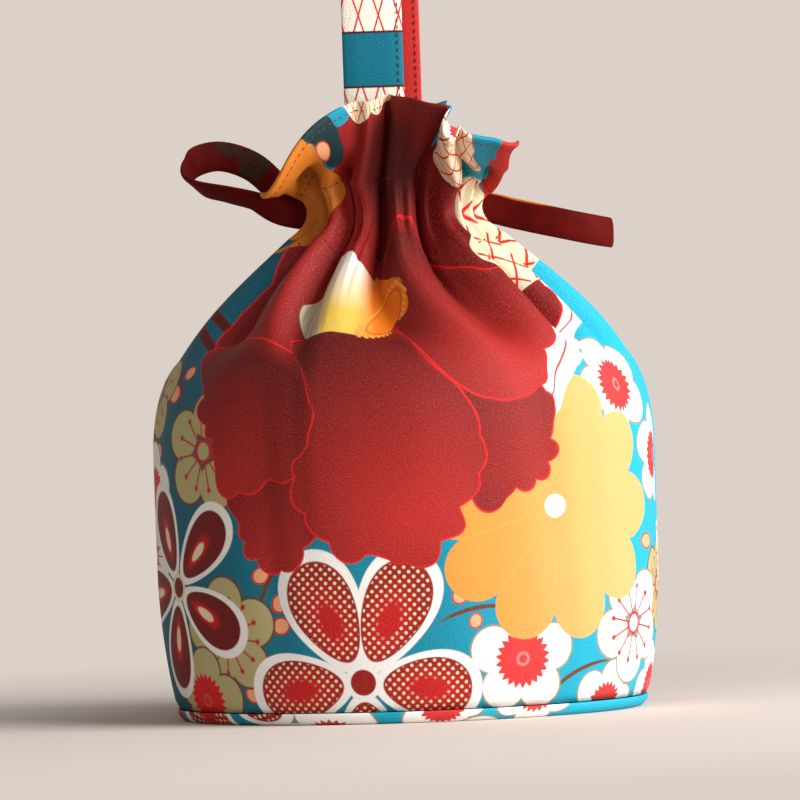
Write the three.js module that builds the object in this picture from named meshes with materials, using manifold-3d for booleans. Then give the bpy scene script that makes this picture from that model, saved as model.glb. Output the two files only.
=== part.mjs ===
// A drawstring handbag of printed cotton, drawn shut: two gathered panels on an oval base, a lining,
// one flat drawstring with a loop at each side, and a strap handle.
// Millimetres, +Z up, the front faces -Y, and the origin is the middle of the base.
import * as THREE from 'three';
import { LoftGeometry } from 'three/addons/geometries/LoftGeometry.js';
import { mergeVertices } from 'three/addons/utils/BufferGeometryUtils.js';
import Module from 'manifold-3d';

const wasm = await Module();
wasm.setup();

// Body: the outside of the cloth, standing and filled
const bodyWidth = 201;
const bodyDepth = 164;
const baseEdgeRadius = 4.5; // the base's edge rolls up this far to its seam
const baseDrawIn = 6.3; // the wall leans in this far at the base seam
const drawInHeight = 60; // above this the wall stands straight
const shoulderHeight = 105; // here the wall starts to lean towards the neck
const shoulderRise = 43; // how long the wall goes on rising into the shoulder
const shoulderDrop = 27; // how far below the neck the shoulder flattens out
const shoulderFullness = 0.555; // 0 is a straight slope to the neck, 1 a square shoulder

// Neck: the drawstring channel between its two lines of stitching, pinched where the cord runs
const neckWidth = 73;
const neckDepth = 62;
const neckHeight = 191;
const channelEase = 3.5; // cloth between the cord and each line of stitching
const spreadBelow = 8; // how much wider the channel is at its lower stitching
const spreadAbove = 3;

// Frill above the channel
const frillLength = 33.5;
const flareLeast = THREE.MathUtils.degToRad(12); // lean of the rim in the middle of the front and back
const flareLeft = THREE.MathUtils.degToRad(96); // most lean, at the slit in each side
const flareRight = THREE.MathUtils.degToRad(66);
const flareLateLeft = 5; // how late the lean comes on the way from the middle to the slit
const flareLateRight = 1.2;
const flatLeft = [0.25, 0.65]; // the folds fade out between these shares of the way to the slit
const flatRight = [0.62, 0.8];
const flatMost = 0.95; // share of their depth that the folds lose there
const fluteLean = THREE.MathUtils.degToRad(18); // one flute at the front right leans out further
const fluteAngle = THREE.MathUtils.degToRad(30);
const fluteSpread = THREE.MathUtils.degToRad(22);
const slitSag = 6; // how far the cloth hangs at the foot of each slit
const flapLeft = THREE.MathUtils.degToRad(48); // how far round the rim reaches, from the middle to the slit
const flapRight = THREE.MathUtils.degToRad(47);

// Cloth and sewing
const clothThickness = 1.2;
const liningThickness = 0.8;
const clothEase = 0.02; // share of its width that the cloth loses before it folds
const foldOnset = 0.25; // share of its width over which the folds come to their full depth
const facingPleat = 2.5; // depth of the small folds inside the channel
const seamGap = 0.3;
const liningTuck = 1; // how far the lining draws in over its own base

// Drawstring: a flat tube of cloth
const cordWidth = 12;
const cordThickness = 2.5;
const cordClearance = 0.4;
const cordExit = 14.2; // opening in each side seam
const cordStrandSpread = 6; // between the middles of the two strands in that opening
const cordJoin = 0.6; // gap between the two ends, hidden at the back of the channel
const cordLeaves = 65; // degrees from the front or back where the cord leaves its ring for the side
const strandTilt = THREE.MathUtils.degToRad(60); // how far the left loop's front strand lies over

// Strap handle
const strapWidth = 24;
const strapThickness = 3;
const strapTop = 372;
const strapTuck = 16; // length sewn inside the rim
const strapFrontOffset = -7;
const strapBackOffset = 0;

// Gathers: where each fold's ridge lies at the neck and at the foot of the shoulder, in degrees from the
// middle of the front, and its height there and in the frill, as shares of the full depth. The side seams
// lie at -90 and 90, halfway between two ridges.
const gathers = [
  { neck: -157, foot: -152, height: 0.9, frill: 0.9 },
  { neck: -130, foot: -130, height: 1, frill: 1 },
  { neck: -104, foot: -106, height: 0.85, frill: 0.9 },
  { neck: -76, foot: -74, height: 1, frill: 0.9 },
  { neck: -47, foot: -35, height: 1, frill: 0.9 },
  { neck: -23, foot: -19, height: 0.8, frill: 1 },
  { neck: 2, foot: 25, height: 1, frill: 0.4 },
  { neck: 39, foot: 46, height: 1, frill: 1.15 },
  { neck: 61, foot: 62, height: 0.85, frill: 0.7 },
  { neck: 80, foot: 79, height: 1, frill: 0.9 },
  { neck: 100, foot: 101, height: 0.9, frill: 0.9 },
  { neck: 137, foot: 131, height: 1, frill: 1 },
  { neck: 171, foot: 171, height: 0.85, frill: 0.85 },
];
const leftSeam = 2.5; // in folds, counted from the first gather
const rightSeam = 9.5;

// Free loops of the drawstring, from the front strand round the tip to the back strand
const leftLoop = [
  [-46, -5.5, 202.5], [-56, -9, 206.5], [-67, -11, 209.5], [-78, -8.5, 212.5],
  [-82.5, -1.5, 218], [-79.5, 6, 223], [-70, 9, 225], [-57, 8.5, 220.5], [-46, 5.5, 210],
];
const rightLoop = [
  [47, -5, 198], [57, -8.5, 195.5], [69, -10, 192.5], [80, -7, 190],
  [85.5, 0, 189], [81, 6.5, 190], [70, 9.5, 192.5], [57, 8.5, 195.5], [47, 5.5, 198],
];

// Values that follow from the sizes above
const wallHalfWidth = bodyWidth / 2;
const wallHalfDepth = bodyDepth / 2;
const seamHeight = baseEdgeRadius + seamGap;
const channelHeight = cordWidth + 2 * channelEase;
const channelMiddle = neckHeight + channelHeight / 2;
const frillThickness = 2 * clothThickness;
const foldSteps = 6;

// Rows of the cloth: 0 to 1 is the wall, to 2 the shoulder, to 3 the channel and to 4 the frill
const wallRows = [0, 0.12, 0.35, 0.65];
const shoulderRows = [1, 1.2, 1.32, 1.41, 1.5, 1.59, 1.69, 1.8, 1.9];
const frillRows = [3.2, 3.45, 3.72, 4];

function onEllipse(angle, halfWidth, halfDepth, z) {
  return new THREE.Vector3(halfWidth * Math.sin(angle), -halfDepth * Math.cos(angle), z);
}

function wallPoint(angle, share) {
  const z = THREE.MathUtils.lerp(seamHeight, shoulderHeight, share);
  const lean = baseDrawIn * Math.max(0, 1 - (z - seamHeight) / (drawInHeight - seamHeight)) ** 2;
  return onEllipse(angle, wallHalfWidth - lean, wallHalfDepth - lean, z);
}

// Half of the shoulder's width, or of its depth, as a curve from the wall to the neck
function shoulderCurve(wallHalf, neckHalf) {
  const hip = neckHalf + shoulderFullness * (wallHalf - neckHalf);
  return new THREE.CubicBezierCurve(
    new THREE.Vector2(wallHalf, shoulderHeight),
    new THREE.Vector2(wallHalf, shoulderHeight + shoulderRise),
    new THREE.Vector2(hip, neckHeight - shoulderDrop),
    new THREE.Vector2(neckHalf, neckHeight),
  );
}
const shoulderAcross = shoulderCurve(wallHalfWidth, neckWidth / 2 + spreadBelow);
const shoulderAlong = shoulderCurve(wallHalfDepth, neckDepth / 2 + spreadBelow);

function shoulderPoint(angle, share) {
  const across = shoulderAcross.getPoint(share);
  return onEllipse(angle, across.x, shoulderAlong.getPoint(share).x, across.y);
}

function channelPoint(angle, share) {
  const spread = (share < 0.5 ? spreadBelow : spreadAbove) * (2 * share - 1) ** 2;
  const sag = slitSag * Math.sin(angle) ** 8 * Math.max(0, 2 * share - 1);
  const z = neckHeight + share * channelHeight - sag;
  return onEllipse(angle, neckWidth / 2 + spread, neckDepth / 2 + spread, z);
}

// Slits at the side seams part the frill into a front and a back flap
function flapCentre(angle) {
  return Math.cos(angle) > 0 ? 0 : Math.PI;
}

function fromCentre(angle, centre) {
  return Math.atan2(Math.sin(angle - centre), Math.cos(angle - centre));
}

// The rim stands up in the middle of a flap (0), and falls outwards at the slits (1)
function lean(angle) {
  const late = Math.sin(angle) < 0 ? flareLateLeft : flareLateRight;
  return Math.abs(Math.sin(angle)) ** late;
}

function frillPoint(angle, share, centre) {
  const left = Math.sin(angle) < 0;
  const flute = fluteLean * Math.exp(-(((angle - fluteAngle) / fluteSpread) ** 2));
  const flare = THREE.MathUtils.lerp(flareLeast, left ? flareLeft : flareRight, lean(angle)) + flute;
  const reach = Math.sin(flare) * frillLength * share;
  const rise = Math.cos(flare) * frillLength * share;
  const narrowing = (left ? flapLeft : flapRight) / (Math.PI / 2) - 1;
  const parted = 1 + narrowing * (1 - (1 - share) ** 2);
  const turned = centre + fromCentre(angle, centre) * parted;
  const out = onEllipse(turned, 2 / neckWidth, 2 / neckDepth, 0).normalize();
  return channelPoint(turned, 1).addScaledVector(out, reach).add(new THREE.Vector3(0, 0, rise));
}

// The smooth surface that touches the top of every fold
function envelope(angle, row, centre = flapCentre(angle)) {
  const zone = Math.min(Math.floor(row), 3);
  return [wallPoint, shoulderPoint, channelPoint, frillPoint][zone](angle, row - zone, centre);
}

function outward(angle, row) {
  const step = 0.01;
  const at = (turn, along) => envelope(turn, along, flapCentre(angle));
  const around = at(angle + step, row).sub(at(angle - step, row));
  const up = at(angle, Math.min(row + step, 4)).sub(at(angle, Math.max(row - step, 0)));
  return around.cross(up).normalize();
}

// Length round the bag, without the gaps of the slits
function ringLength(row) {
  const count = 60;
  const half = (centre) => {
    const ring = Array.from({ length: count + 1 }, (_, i) => (
      envelope(centre + (i / count - 0.5) * Math.PI, row, centre)
    ));
    return ring.slice(1).reduce((sum, point, i) => sum + point.distanceTo(ring[i]), 0);
  };
  return half(0) + half(Math.PI);
}

// The cloth keeps its full width above the wall, so the folds are as deep as it takes to lose what
// the ring is too short for. Half of the depth from ridge to valley.
const clothAround = ringLength(1);
const depthOfRow = new Map();
function gatherDepth(row) {
  if (row <= 1) return 0;
  if (!depthOfRow.has(row)) {
    const around = ringLength(row);
    const spare = Math.max(0, clothAround / around - 1 - clothEase);
    const onset = THREE.MathUtils.smoothstep(spare, 0, foldOnset);
    depthOfRow.set(row, (around / gathers.length / Math.PI) * Math.sqrt(spare) * onset);
  }
  return depthOfRow.get(row);
}

// A fold is counted from 0 to the number of gathers: whole numbers are ridges, halves are valleys
function ridgeAngle(index, row) {
  const { neck, foot } = gathers[index % gathers.length];
  const turns = Math.floor(index / gathers.length) * 360;
  const down = (foot - neck) * THREE.MathUtils.smoothstep(2 - row, 0, 0.8);
  return THREE.MathUtils.degToRad(neck + down + turns);
}

function foldAngle(fold, row) {
  const index = Math.floor(fold);
  return THREE.MathUtils.lerp(ridgeAngle(index, row), ridgeAngle(index + 1, row), fold - index);
}

function ridgeHeight(index, row) {
  const { height, frill } = gathers[index % gathers.length];
  return THREE.MathUtils.lerp(height, frill, THREE.MathUtils.smoothstep(row, 2.4, 3.2));
}

// Beside the slits the frill lies open, nearly without folds
function flatness(angle, row) {
  const side = Math.sin(angle);
  const [from, to] = side < 0 ? flatLeft : flatRight;
  const share = THREE.MathUtils.smoothstep(Math.abs(side), from, to);
  return flatMost * share * THREE.MathUtils.smoothstep(row, 2.9, 3.5);
}

function foldInset(fold, row) {
  const index = Math.floor(fold);
  const height = THREE.MathUtils.lerp(ridgeHeight(index, row), ridgeHeight(index + 1, row), fold - index);
  const ridge = (1 + Math.cos(2 * Math.PI * fold)) / 2;
  const depth = 2 * gatherDepth(row) * (1 - flatness(foldAngle(fold, row), row));
  return depth * (1 - ridge * height);
}

function clothPoint(fold, row, inset) {
  const angle = foldAngle(fold, row);
  const depth = foldInset(fold, row) + inset;
  return envelope(angle, row).addScaledVector(outward(angle, row), -depth);
}

// From the outside in, the channel holds the cloth's valleys, the cord and the facing
const channelRow = 2.5;
const cordInset = 2 * gatherDepth(channelRow) + clothThickness + cordClearance + cordThickness / 2;
const facingInset = cordInset + cordThickness / 2 + cordClearance;

function insideChannel(angle, inset, z) {
  return envelope(angle, channelRow).addScaledVector(outward(angle, channelRow), -inset).setZ(z);
}

function facingPoint(fold, inset, z) {
  const crumple = (facingPleat * (1 + Math.cos(2 * Math.PI * fold))) / 2;
  return insideChannel(foldAngle(fold, channelRow), facingInset + crumple + inset, z);
}

// Sections skinned one after the other. Each face is split along its shorter diagonal, so that the two
// skins of a thin cloth are split alike and never cross.
function skin(sections, closed) {
  const size = sections[0].length;
  const points = sections.flat();
  const corner = (station, point) => (station % sections.length) * size + (point % size);
  const index = [];
  for (let station = 0; station < sections.length - (closed ? 0 : 1); station++) {
    for (let point = 0; point < size; point++) {
      const a = corner(station, point);
      const b = corner(station + 1, point);
      const c = corner(station + 1, point + 1);
      const d = corner(station, point + 1);
      const rising = points[a].distanceTo(points[c]) < points[b].distanceTo(points[d]);
      index.push(...(rising ? [a, b, c, a, c, d] : [a, b, d, b, c, d]));
    }
  }
  return { points, index };
}

// One end of a strip of cloth: from its two lower corners up to where its two sides meet
function endFaces(section) {
  const faces = [];
  let outer = 0;
  let inner = section.length - 1;
  while (inner - outer > 1) {
    const up = section[outer + 1].distanceTo(section[inner]);
    const across = section[outer].distanceTo(section[inner - 1]);
    if (up < across) {
      faces.push([outer, outer + 1, inner]);
      outer += 1;
    } else {
      faces.push([outer, inner - 1, inner]);
      inner -= 1;
    }
  }
  return faces;
}

function ringSolid(sections) {
  const { points, index } = skin(sections, true);
  return new THREE.BufferGeometry().setFromPoints(points).setIndex(index);
}

function stripSolid(sections) {
  const { points, index } = skin(sections, false);
  const last = points.length - sections[0].length;
  index.push(...endFaces(sections[0]).flat());
  index.push(...endFaces(sections.at(-1)).flatMap(([a, b, c]) => [last + a, last + c, last + b]));
  return new THREE.BufferGeometry().setFromPoints(points).setIndex(index);
}

function toSolid(geometry) {
  const bare = new THREE.BufferGeometry().setAttribute('position', geometry.getAttribute('position'));
  if (geometry.index) bare.setIndex(geometry.index);
  const merged = mergeVertices(bare, 1e-4);
  return new wasm.Manifold(new wasm.Mesh({
    numProp: 3,
    vertProperties: merged.attributes.position.array,
    triVerts: new Uint32Array(merged.index.array),
  }));
}

function toGeometry(solid) {
  const mesh = solid.getMesh();
  return new THREE.BufferGeometry()
    .setAttribute('position', new THREE.BufferAttribute(mesh.vertProperties, 3))
    .setIndex(new THREE.BufferAttribute(mesh.triVerts, 1));
}

function boxBetween(low, high) {
  const size = high.clone().sub(low);
  const middle = low.clone().add(high).multiplyScalar(0.5);
  return toSolid(new THREE.BoxGeometry(size.x, size.y, size.z).translate(middle.x, middle.y, middle.z));
}

// Every station of the cloth, six to a fold, so that each ridge and valley is an edge of the mesh
const foldStations = Array.from({ length: gathers.length * foldSteps }, (_, i) => i / foldSteps);

// Section of the sewn cloth: up the outside, over the rim, down the facing and round the channel
function clothSection(fold) {
  const facingReach = cordWidth / 2 + cordClearance + clothThickness;
  const outside = [...wallRows, ...shoulderRows, 2, channelRow, 3, ...frillRows];
  const insideFrill = [...frillRows].reverse().concat(3);
  const insideBody = [...wallRows, ...shoulderRows].reverse();
  return [
    ...outside.map((row) => clothPoint(fold, row, 0)),
    ...insideFrill.map((row) => clothPoint(fold, row, frillThickness)),
    facingPoint(fold, clothThickness, channelMiddle + facingReach),
    facingPoint(fold, clothThickness, channelMiddle - facingReach),
    clothPoint(fold, 2, frillThickness),
    ...insideBody.map((row) => clothPoint(fold, row, clothThickness)),
  ];
}

// The tunnel that the cord runs in, between the outer cloth and the facing
function tunnelSection(fold) {
  const reach = cordWidth / 2 + cordClearance;
  const rowAt = (z) => 2 + (z - neckHeight) / channelHeight;
  const low = channelMiddle - reach;
  const high = channelMiddle + reach;
  return [
    ...[rowAt(low), channelRow, rowAt(high)].map((row) => clothPoint(fold, row, clothThickness)),
    facingPoint(fold, 0, high),
    facingPoint(fold, 0, low),
  ];
}

// Front and back panel: from seam to seam, less the tunnel and its two exits into the slits
function panels() {
  const reach = cordWidth / 2 + cordClearance;
  const far = wallHalfWidth + frillLength;
  const exits = boxBetween(
    new THREE.Vector3(-far, -cordExit / 2, channelMiddle - reach),
    new THREE.Vector3(far, cordExit / 2, channelMiddle + channelHeight),
  );
  const mouthSide = neckWidth / 2 - facingInset;
  const keep = boxBetween(
    new THREE.Vector3(-mouthSide, -far, 0),
    new THREE.Vector3(mouthSide, far, strapTop),
  );
  const tunnel = toSolid(ringSolid(foldStations.map(tunnelSection)));
  const margin = (seamGap / 2 / clothAround) * gathers.length;
  const panel = (from, to) => {
    const count = Math.round((to - from) * foldSteps);
    const stations = Array.from({ length: count + 1 }, (_, i) => (
      THREE.MathUtils.clamp(from + i / foldSteps, from + margin, to - margin)
    ));
    const cloth = toSolid(stripSolid(stations.map(clothSection)));
    return toGeometry(cloth.subtract(tunnel).subtract(exits.subtract(keep)));
  };
  return [panel(leftSeam, rightSeam), panel(rightSeam, leftSeam + gathers.length)];
}

// Base: an oval dish whose edge rolls up to meet the panels
function basePanel() {
  const edge = wallPoint(Math.PI / 2, 0).x;
  const depthShare = -wallPoint(0, 0).y / edge;
  const flat = edge - baseEdgeRadius;
  const outline = new THREE.Path();
  outline.moveTo(0, 0);
  outline.lineTo(flat, 0);
  outline.absarc(flat, baseEdgeRadius, baseEdgeRadius, -Math.PI / 2, 0, false);
  outline.lineTo(edge - clothThickness, baseEdgeRadius);
  outline.absarc(flat, baseEdgeRadius, baseEdgeRadius - clothThickness, 0, -Math.PI / 2, true);
  outline.lineTo(0, clothThickness);
  const turned = new THREE.LatheGeometry(outline.getPoints(1), 48);
  return turned.rotateX(Math.PI / 2).scale(1, depthShare, 1);
}

// Lining: a smooth bag just inside the folds, from its own base to below the facing
const liningFloor = clothThickness + seamGap;
const liningFoot = liningFloor + liningThickness + seamGap;
const liningRows = [0.12, 0.65, 1, 1.2, 1.41, 1.59, 1.9];
const liningStations = Array.from({ length: 32 }, (_, i) => (i * 2 * Math.PI) / 32);

function liningPoint(angle, row, inset) {
  const depth = 2 * gatherDepth(row) + clothThickness + seamGap + inset;
  return envelope(angle, row).addScaledVector(outward(angle, row), -depth);
}

function liningSection(angle) {
  const foot = (inset) => liningPoint(angle, 0, inset + liningTuck).setZ(liningFoot);
  return [
    foot(0),
    ...liningRows.map((row) => liningPoint(angle, row, 0)),
    ...[...liningRows].reverse().map((row) => liningPoint(angle, row, liningThickness)),
    foot(liningThickness),
  ];
}

function liningBase() {
  const edge = wallPoint(Math.PI / 2, 0).x - baseEdgeRadius - seamGap;
  const depth = -wallPoint(0, 0).y - baseEdgeRadius - seamGap;
  const outline = new THREE.Shape().absellipse(0, 0, edge, depth, 0, 2 * Math.PI);
  const options = { depth: liningThickness, bevelEnabled: false, curveSegments: 24 };
  return new THREE.ExtrudeGeometry(outline, options).translate(0, 0, liningFloor);
}

// A flat strip of cloth along a path, with soft edges. Its width stays as near as it can to one axis,
// turned about the path by a tilt that may differ from place to place.
function strip(path, steps, width, thickness, widthAxis, tilt = () => 0) {
  const side = width / 2;
  const face = thickness / 2;
  const soft = face * 0.55;
  const outline = [
    [side, -face + soft], [side, face - soft], [side - soft, face], [-side + soft, face],
    [-side, face - soft], [-side, -face + soft], [-side + soft, -face], [side - soft, -face],
  ];
  const sections = Array.from({ length: steps + 1 }, (_, i) => {
    const middle = path.getPointAt(i / steps);
    const along = path.getTangentAt(i / steps);
    const across = widthAxis.clone().addScaledVector(along, -along.dot(widthAxis)).normalize();
    across.applyAxisAngle(along, tilt(middle));
    const through = along.clone().cross(across);
    return outline.map(([x, y]) => middle.clone().addScaledVector(across, x).addScaledVector(through, y));
  });
  return new LoftGeometry(sections, { capStart: true, capEnd: true });
}

// Drawstring: half a ring in the back of the channel, a loop, the front half, the other loop
function drawstring() {
  const ring = (from, to, count) => Array.from({ length: count }, (_, i) => {
    const angle = THREE.MathUtils.degToRad(THREE.MathUtils.lerp(from, to, i / (count - 1)));
    return insideChannel(angle, cordInset, channelMiddle);
  });
  const strand = (side, face) => [0.72, 1.02].map((share) => new THREE.Vector3(
    side * share * neckWidth / 2, face * cordStrandSpread / 2, channelMiddle,
  ));
  const toPoints = (loop) => loop.map((point) => new THREE.Vector3(...point));
  const join = THREE.MathUtils.radToDeg(cordJoin / 2 / (neckDepth / 2 - cordInset));
  const path = new THREE.CatmullRomCurve3([
    ...ring(180 + join, 180 + cordLeaves, 5),
    ...strand(-1, 1),
    ...toPoints(leftLoop).reverse(),
    ...strand(-1, -1).reverse(),
    ...ring(360 - cordLeaves, 360 + cordLeaves, 8),
    ...strand(1, -1),
    ...toPoints(rightLoop),
    ...strand(1, 1).reverse(),
    ...ring(540 - cordLeaves, 540 - join, 5),
  ]);
  const tilt = (middle) => strandTilt
    * THREE.MathUtils.smoothstep(-middle.x, neckWidth / 2 + 4, neckWidth / 2 + 20)
    * THREE.MathUtils.smoothstep(-middle.y, -2, 6);
  return strip(path, 72, cordWidth, cordThickness, new THREE.Vector3(0, 0, 1), tilt);
}

// Strap handle: its ends lie flat inside the frill at the front and the back
function strapSeat(side, offset, foot) {
  let nearest = Infinity;
  for (let fold = 0; fold < gathers.length; fold += 1 / 12) {
    for (let row = 3; row <= 4; row += 0.02) {
      const point = clothPoint(fold, row, frillThickness);
      const beside = Math.abs(point.x - offset) < strapWidth / 2 + seamGap;
      const level = point.z > foot - seamGap;
      if (beside && level && point.y * side > 0) nearest = Math.min(nearest, point.y * side);
    }
  }
  return side * (nearest - seamGap - strapThickness / 2);
}

function strapHandle() {
  const foot = envelope(0, 4).z - strapTuck;
  const front = new THREE.Vector3(strapFrontOffset, strapSeat(-1, strapFrontOffset, foot), foot);
  const back = new THREE.Vector3(strapBackOffset, strapSeat(1, strapBackOffset, foot), foot);
  const arch = (back.y - front.y) / 2;
  const crown = front.clone().lerp(back, 0.5).setZ(strapTop - strapThickness / 2);
  const frontTop = front.clone().setZ(crown.z - arch);
  const backTop = back.clone().setZ(crown.z - arch);
  const up = new THREE.Vector3(0, 0, 0.5523 * arch);
  const rearward = new THREE.Vector3(0, 0.5523 * arch, 0);
  const path = new THREE.CurvePath();
  path.add(new THREE.LineCurve3(front, frontTop));
  path.add(new THREE.CubicBezierCurve3(
    frontTop, frontTop.clone().add(up), crown.clone().sub(rearward), crown,
  ));
  path.add(new THREE.CubicBezierCurve3(
    crown, crown.clone().add(rearward), backTop.clone().add(up), backTop,
  ));
  path.add(new THREE.LineCurve3(backTop, back));
  return strip(path, 44, strapWidth, strapThickness, new THREE.Vector3(1, 0, 0));
}

const printedCotton = new THREE.MeshStandardMaterial({ color: 0x1b8497, roughness: 0.85, metalness: 0 });
const redCotton = new THREE.MeshStandardMaterial({ color: 0x7c1713, roughness: 0.85, metalness: 0 });
const liningCotton = new THREE.MeshStandardMaterial({ color: 0x6e1a18, roughness: 0.9, metalness: 0 });

const handbag = new THREE.Group();
function addPiece(name, geometry, material) {
  const mesh = new THREE.Mesh(geometry, material);
  mesh.name = name;
  handbag.add(mesh);
}

const [frontPanel, backPanel] = panels();
addPiece('front_panel', frontPanel, printedCotton);
addPiece('back_panel', backPanel, printedCotton);
addPiece('base_panel', basePanel(), printedCotton);
addPiece('lining_wall', ringSolid(liningStations.map(liningSection)), liningCotton);
addPiece('lining_base', liningBase(), liningCotton);
addPiece('drawstring', drawstring(), redCotton);
addPiece('strap_handle', strapHandle(), printedCotton);

export default handbag;
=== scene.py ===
# %% [markdown]
# A drawstring handbag of printed cotton, drawn shut and standing on its oval base.
#
# The CAD model gives the sizes and the places. Here the same cloth is laid out again with many more
# folds and threads than a solid can hold, and it gets its print, its weave and its light.

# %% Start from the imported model
import math

import bmesh
import bpy
import numpy as np
from mathutils import Matrix, Vector


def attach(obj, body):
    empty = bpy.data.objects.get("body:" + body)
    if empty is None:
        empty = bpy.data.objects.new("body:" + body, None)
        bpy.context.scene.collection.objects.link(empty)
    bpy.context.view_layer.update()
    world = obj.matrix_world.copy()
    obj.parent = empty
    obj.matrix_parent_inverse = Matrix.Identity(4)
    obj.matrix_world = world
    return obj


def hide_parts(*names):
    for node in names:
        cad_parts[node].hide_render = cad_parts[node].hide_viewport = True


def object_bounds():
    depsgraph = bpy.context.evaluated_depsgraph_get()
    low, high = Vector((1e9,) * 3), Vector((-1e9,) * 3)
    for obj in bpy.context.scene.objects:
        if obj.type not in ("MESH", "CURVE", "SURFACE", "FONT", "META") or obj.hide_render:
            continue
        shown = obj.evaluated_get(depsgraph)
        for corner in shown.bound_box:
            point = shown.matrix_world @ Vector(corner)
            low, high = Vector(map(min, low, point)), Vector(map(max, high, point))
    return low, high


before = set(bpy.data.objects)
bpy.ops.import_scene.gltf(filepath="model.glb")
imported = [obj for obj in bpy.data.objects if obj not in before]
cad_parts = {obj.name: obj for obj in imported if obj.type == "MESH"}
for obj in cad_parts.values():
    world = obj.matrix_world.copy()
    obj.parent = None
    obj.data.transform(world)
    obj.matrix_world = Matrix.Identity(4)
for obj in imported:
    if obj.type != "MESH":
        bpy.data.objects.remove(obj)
cad_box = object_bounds()
print("CAD box", [tuple(round(x, 4) for x in corner) for corner in cad_box])

# %% [markdown]
# The camera comes first, because every later choice is judged through it. The photograph looks almost
# level at the front, from far enough away that the sides hardly converge. A short lens close by would
# fill the picture too, but the front would bulge. The bag leans by two degrees there. The model has to
# stand straight, so the camera is rolled by that much instead.

# %% Camera at the photograph's viewing angle
VIEW_WIDTH = 0.320
VIEW_DISTANCE = 3.0
SENSOR_WIDTH = 36.0
ELEVATION, ROLL = math.radians(1.0), math.radians(-2.0)
view_target = Vector((-0.001, 0.0, 0.125))
backward = Vector((0.0, -math.cos(ELEVATION), math.sin(ELEVATION)))

camera = bpy.data.objects.new("camera", bpy.data.cameras.new("camera"))
camera.data.sensor_width = SENSOR_WIDTH
camera.data.lens = SENSOR_WIDTH * VIEW_DISTANCE / VIEW_WIDTH
camera.location = view_target + backward * VIEW_DISTANCE
look = (-backward).to_track_quat("-Z", "Y").to_matrix().to_4x4()
camera.rotation_euler = (look @ Matrix.Rotation(ROLL, 4, "Z")).to_euler()
bpy.context.scene.collection.objects.link(camera)
bpy.context.scene.camera = camera
print("camera lens", round(camera.data.lens, 1), "mm")

# %% [markdown]
# Every piece ends up as a mesh object at the origin, so one small helper makes them. Shapes are worked
# out in millimetres, like the CAD sizes, and turned into metres here. A sheet of cloth is a grid. It
# could be bent by hand in the editor, but rows of points that come from formulas bend it exactly, and
# the same loop tells each face its place on the cloth.

# %% A mesh object from rows of points in millimetres
MM = 0.001


def make_object(name, bm, slot, *nodes):
    """A smooth object that rides on the bag and stands for its CAD nodes. Its slot is not used."""
    mesh = bpy.data.meshes.new(name)
    bm.to_mesh(mesh)
    bm.free()
    for face in mesh.polygons:
        face.use_smooth = True
    made = bpy.data.objects.new(name, mesh)
    bpy.context.scene.collection.objects.link(made)
    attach(made, "root")
    if nodes:
        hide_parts(*nodes)
    return made


def grid_mesh(points, uvs, closed_across=False):
    """A bmesh from rows of points, points[row][column], with a UV map in millimetres of cloth."""
    bm = bmesh.new()
    layer = bm.loops.layers.uv.new("cloth")
    rows = [[bm.verts.new(Vector(p) * MM) for p in row] for row in points]
    count = len(rows[0])
    for r in range(len(rows) - 1):
        for c in range(count if closed_across else count - 1):
            n = (c + 1) % count
            face = bm.faces.new((rows[r][c], rows[r][n], rows[r + 1][n], rows[r + 1][c]))
            corners = ((r, c), (r, c + 1), (r + 1, c + 1), (r + 1, c))
            for loop, (i, j) in zip(face.loops, corners):
                loop[layer].uv = uvs[i][j]
    return bm


def report(made):
    size = made.dimensions
    print(f"{made.name}: {len(made.data.polygons)} faces, {size.x * 1000:.0f} x {size.y * 1000:.0f}"
          f" x {size.z * 1000:.0f} mm")


# %% [markdown]
# The drawstring is one flat cloth tube. Half a ring of it lies in the back of the channel, then it comes
# out as a loop at the left, runs through the front of the channel, makes the loop at the right and goes
# back in. A curve object with a bevel could follow that way, but its section would twist, and this tube
# has to lie flat. So the route is worked out first, as a smooth line through listed points. They
# repeat the CAD route, so the tube lies inside the CAD solid.

# %% Route of the drawstring, in millimetres
CHANNEL_MIDDLE = 200.5
CORD_WIDTH, CORD_THICKNESS = 12.0, 2.5
RING_HALF_WIDTH, RING_HALF_DEPTH = 20.4, 14.6
SLIT_SIDE, STRAND_OFFSET = 36.5, 3.0
left_loop = [(-46, -5.5, 202.5), (-56, -9, 206.5), (-67, -11, 209.5), (-78, -8.5, 212.5),
             (-82.5, -1.5, 218), (-79.5, 6, 223), (-70, 9, 225), (-57, 8.5, 220.5), (-46, 5.5, 210)]
right_loop = [(47, -5, 198), (57, -8.5, 195.5), (69, -10, 192.5), (80, -7, 190), (85.5, 0, 189),
              (81, 6.5, 190), (70, 9.5, 192.5), (57, 8.5, 195.5), (47, 5.5, 198)]


def channel_ring(start, stop, count):
    """Points in the channel, from one angle round the bag to another."""
    turns = np.radians(np.linspace(start, stop, count))
    return [(RING_HALF_WIDTH * math.sin(a), -RING_HALF_DEPTH * math.cos(a), CHANNEL_MIDDLE) for a in turns]


def strand(side, face):
    """The way from the ring out through a slit, at the front or the back half of it."""
    return [(side * share * SLIT_SIDE, face * STRAND_OFFSET, CHANNEL_MIDDLE) for share in (0.72, 1.02)]


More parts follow.
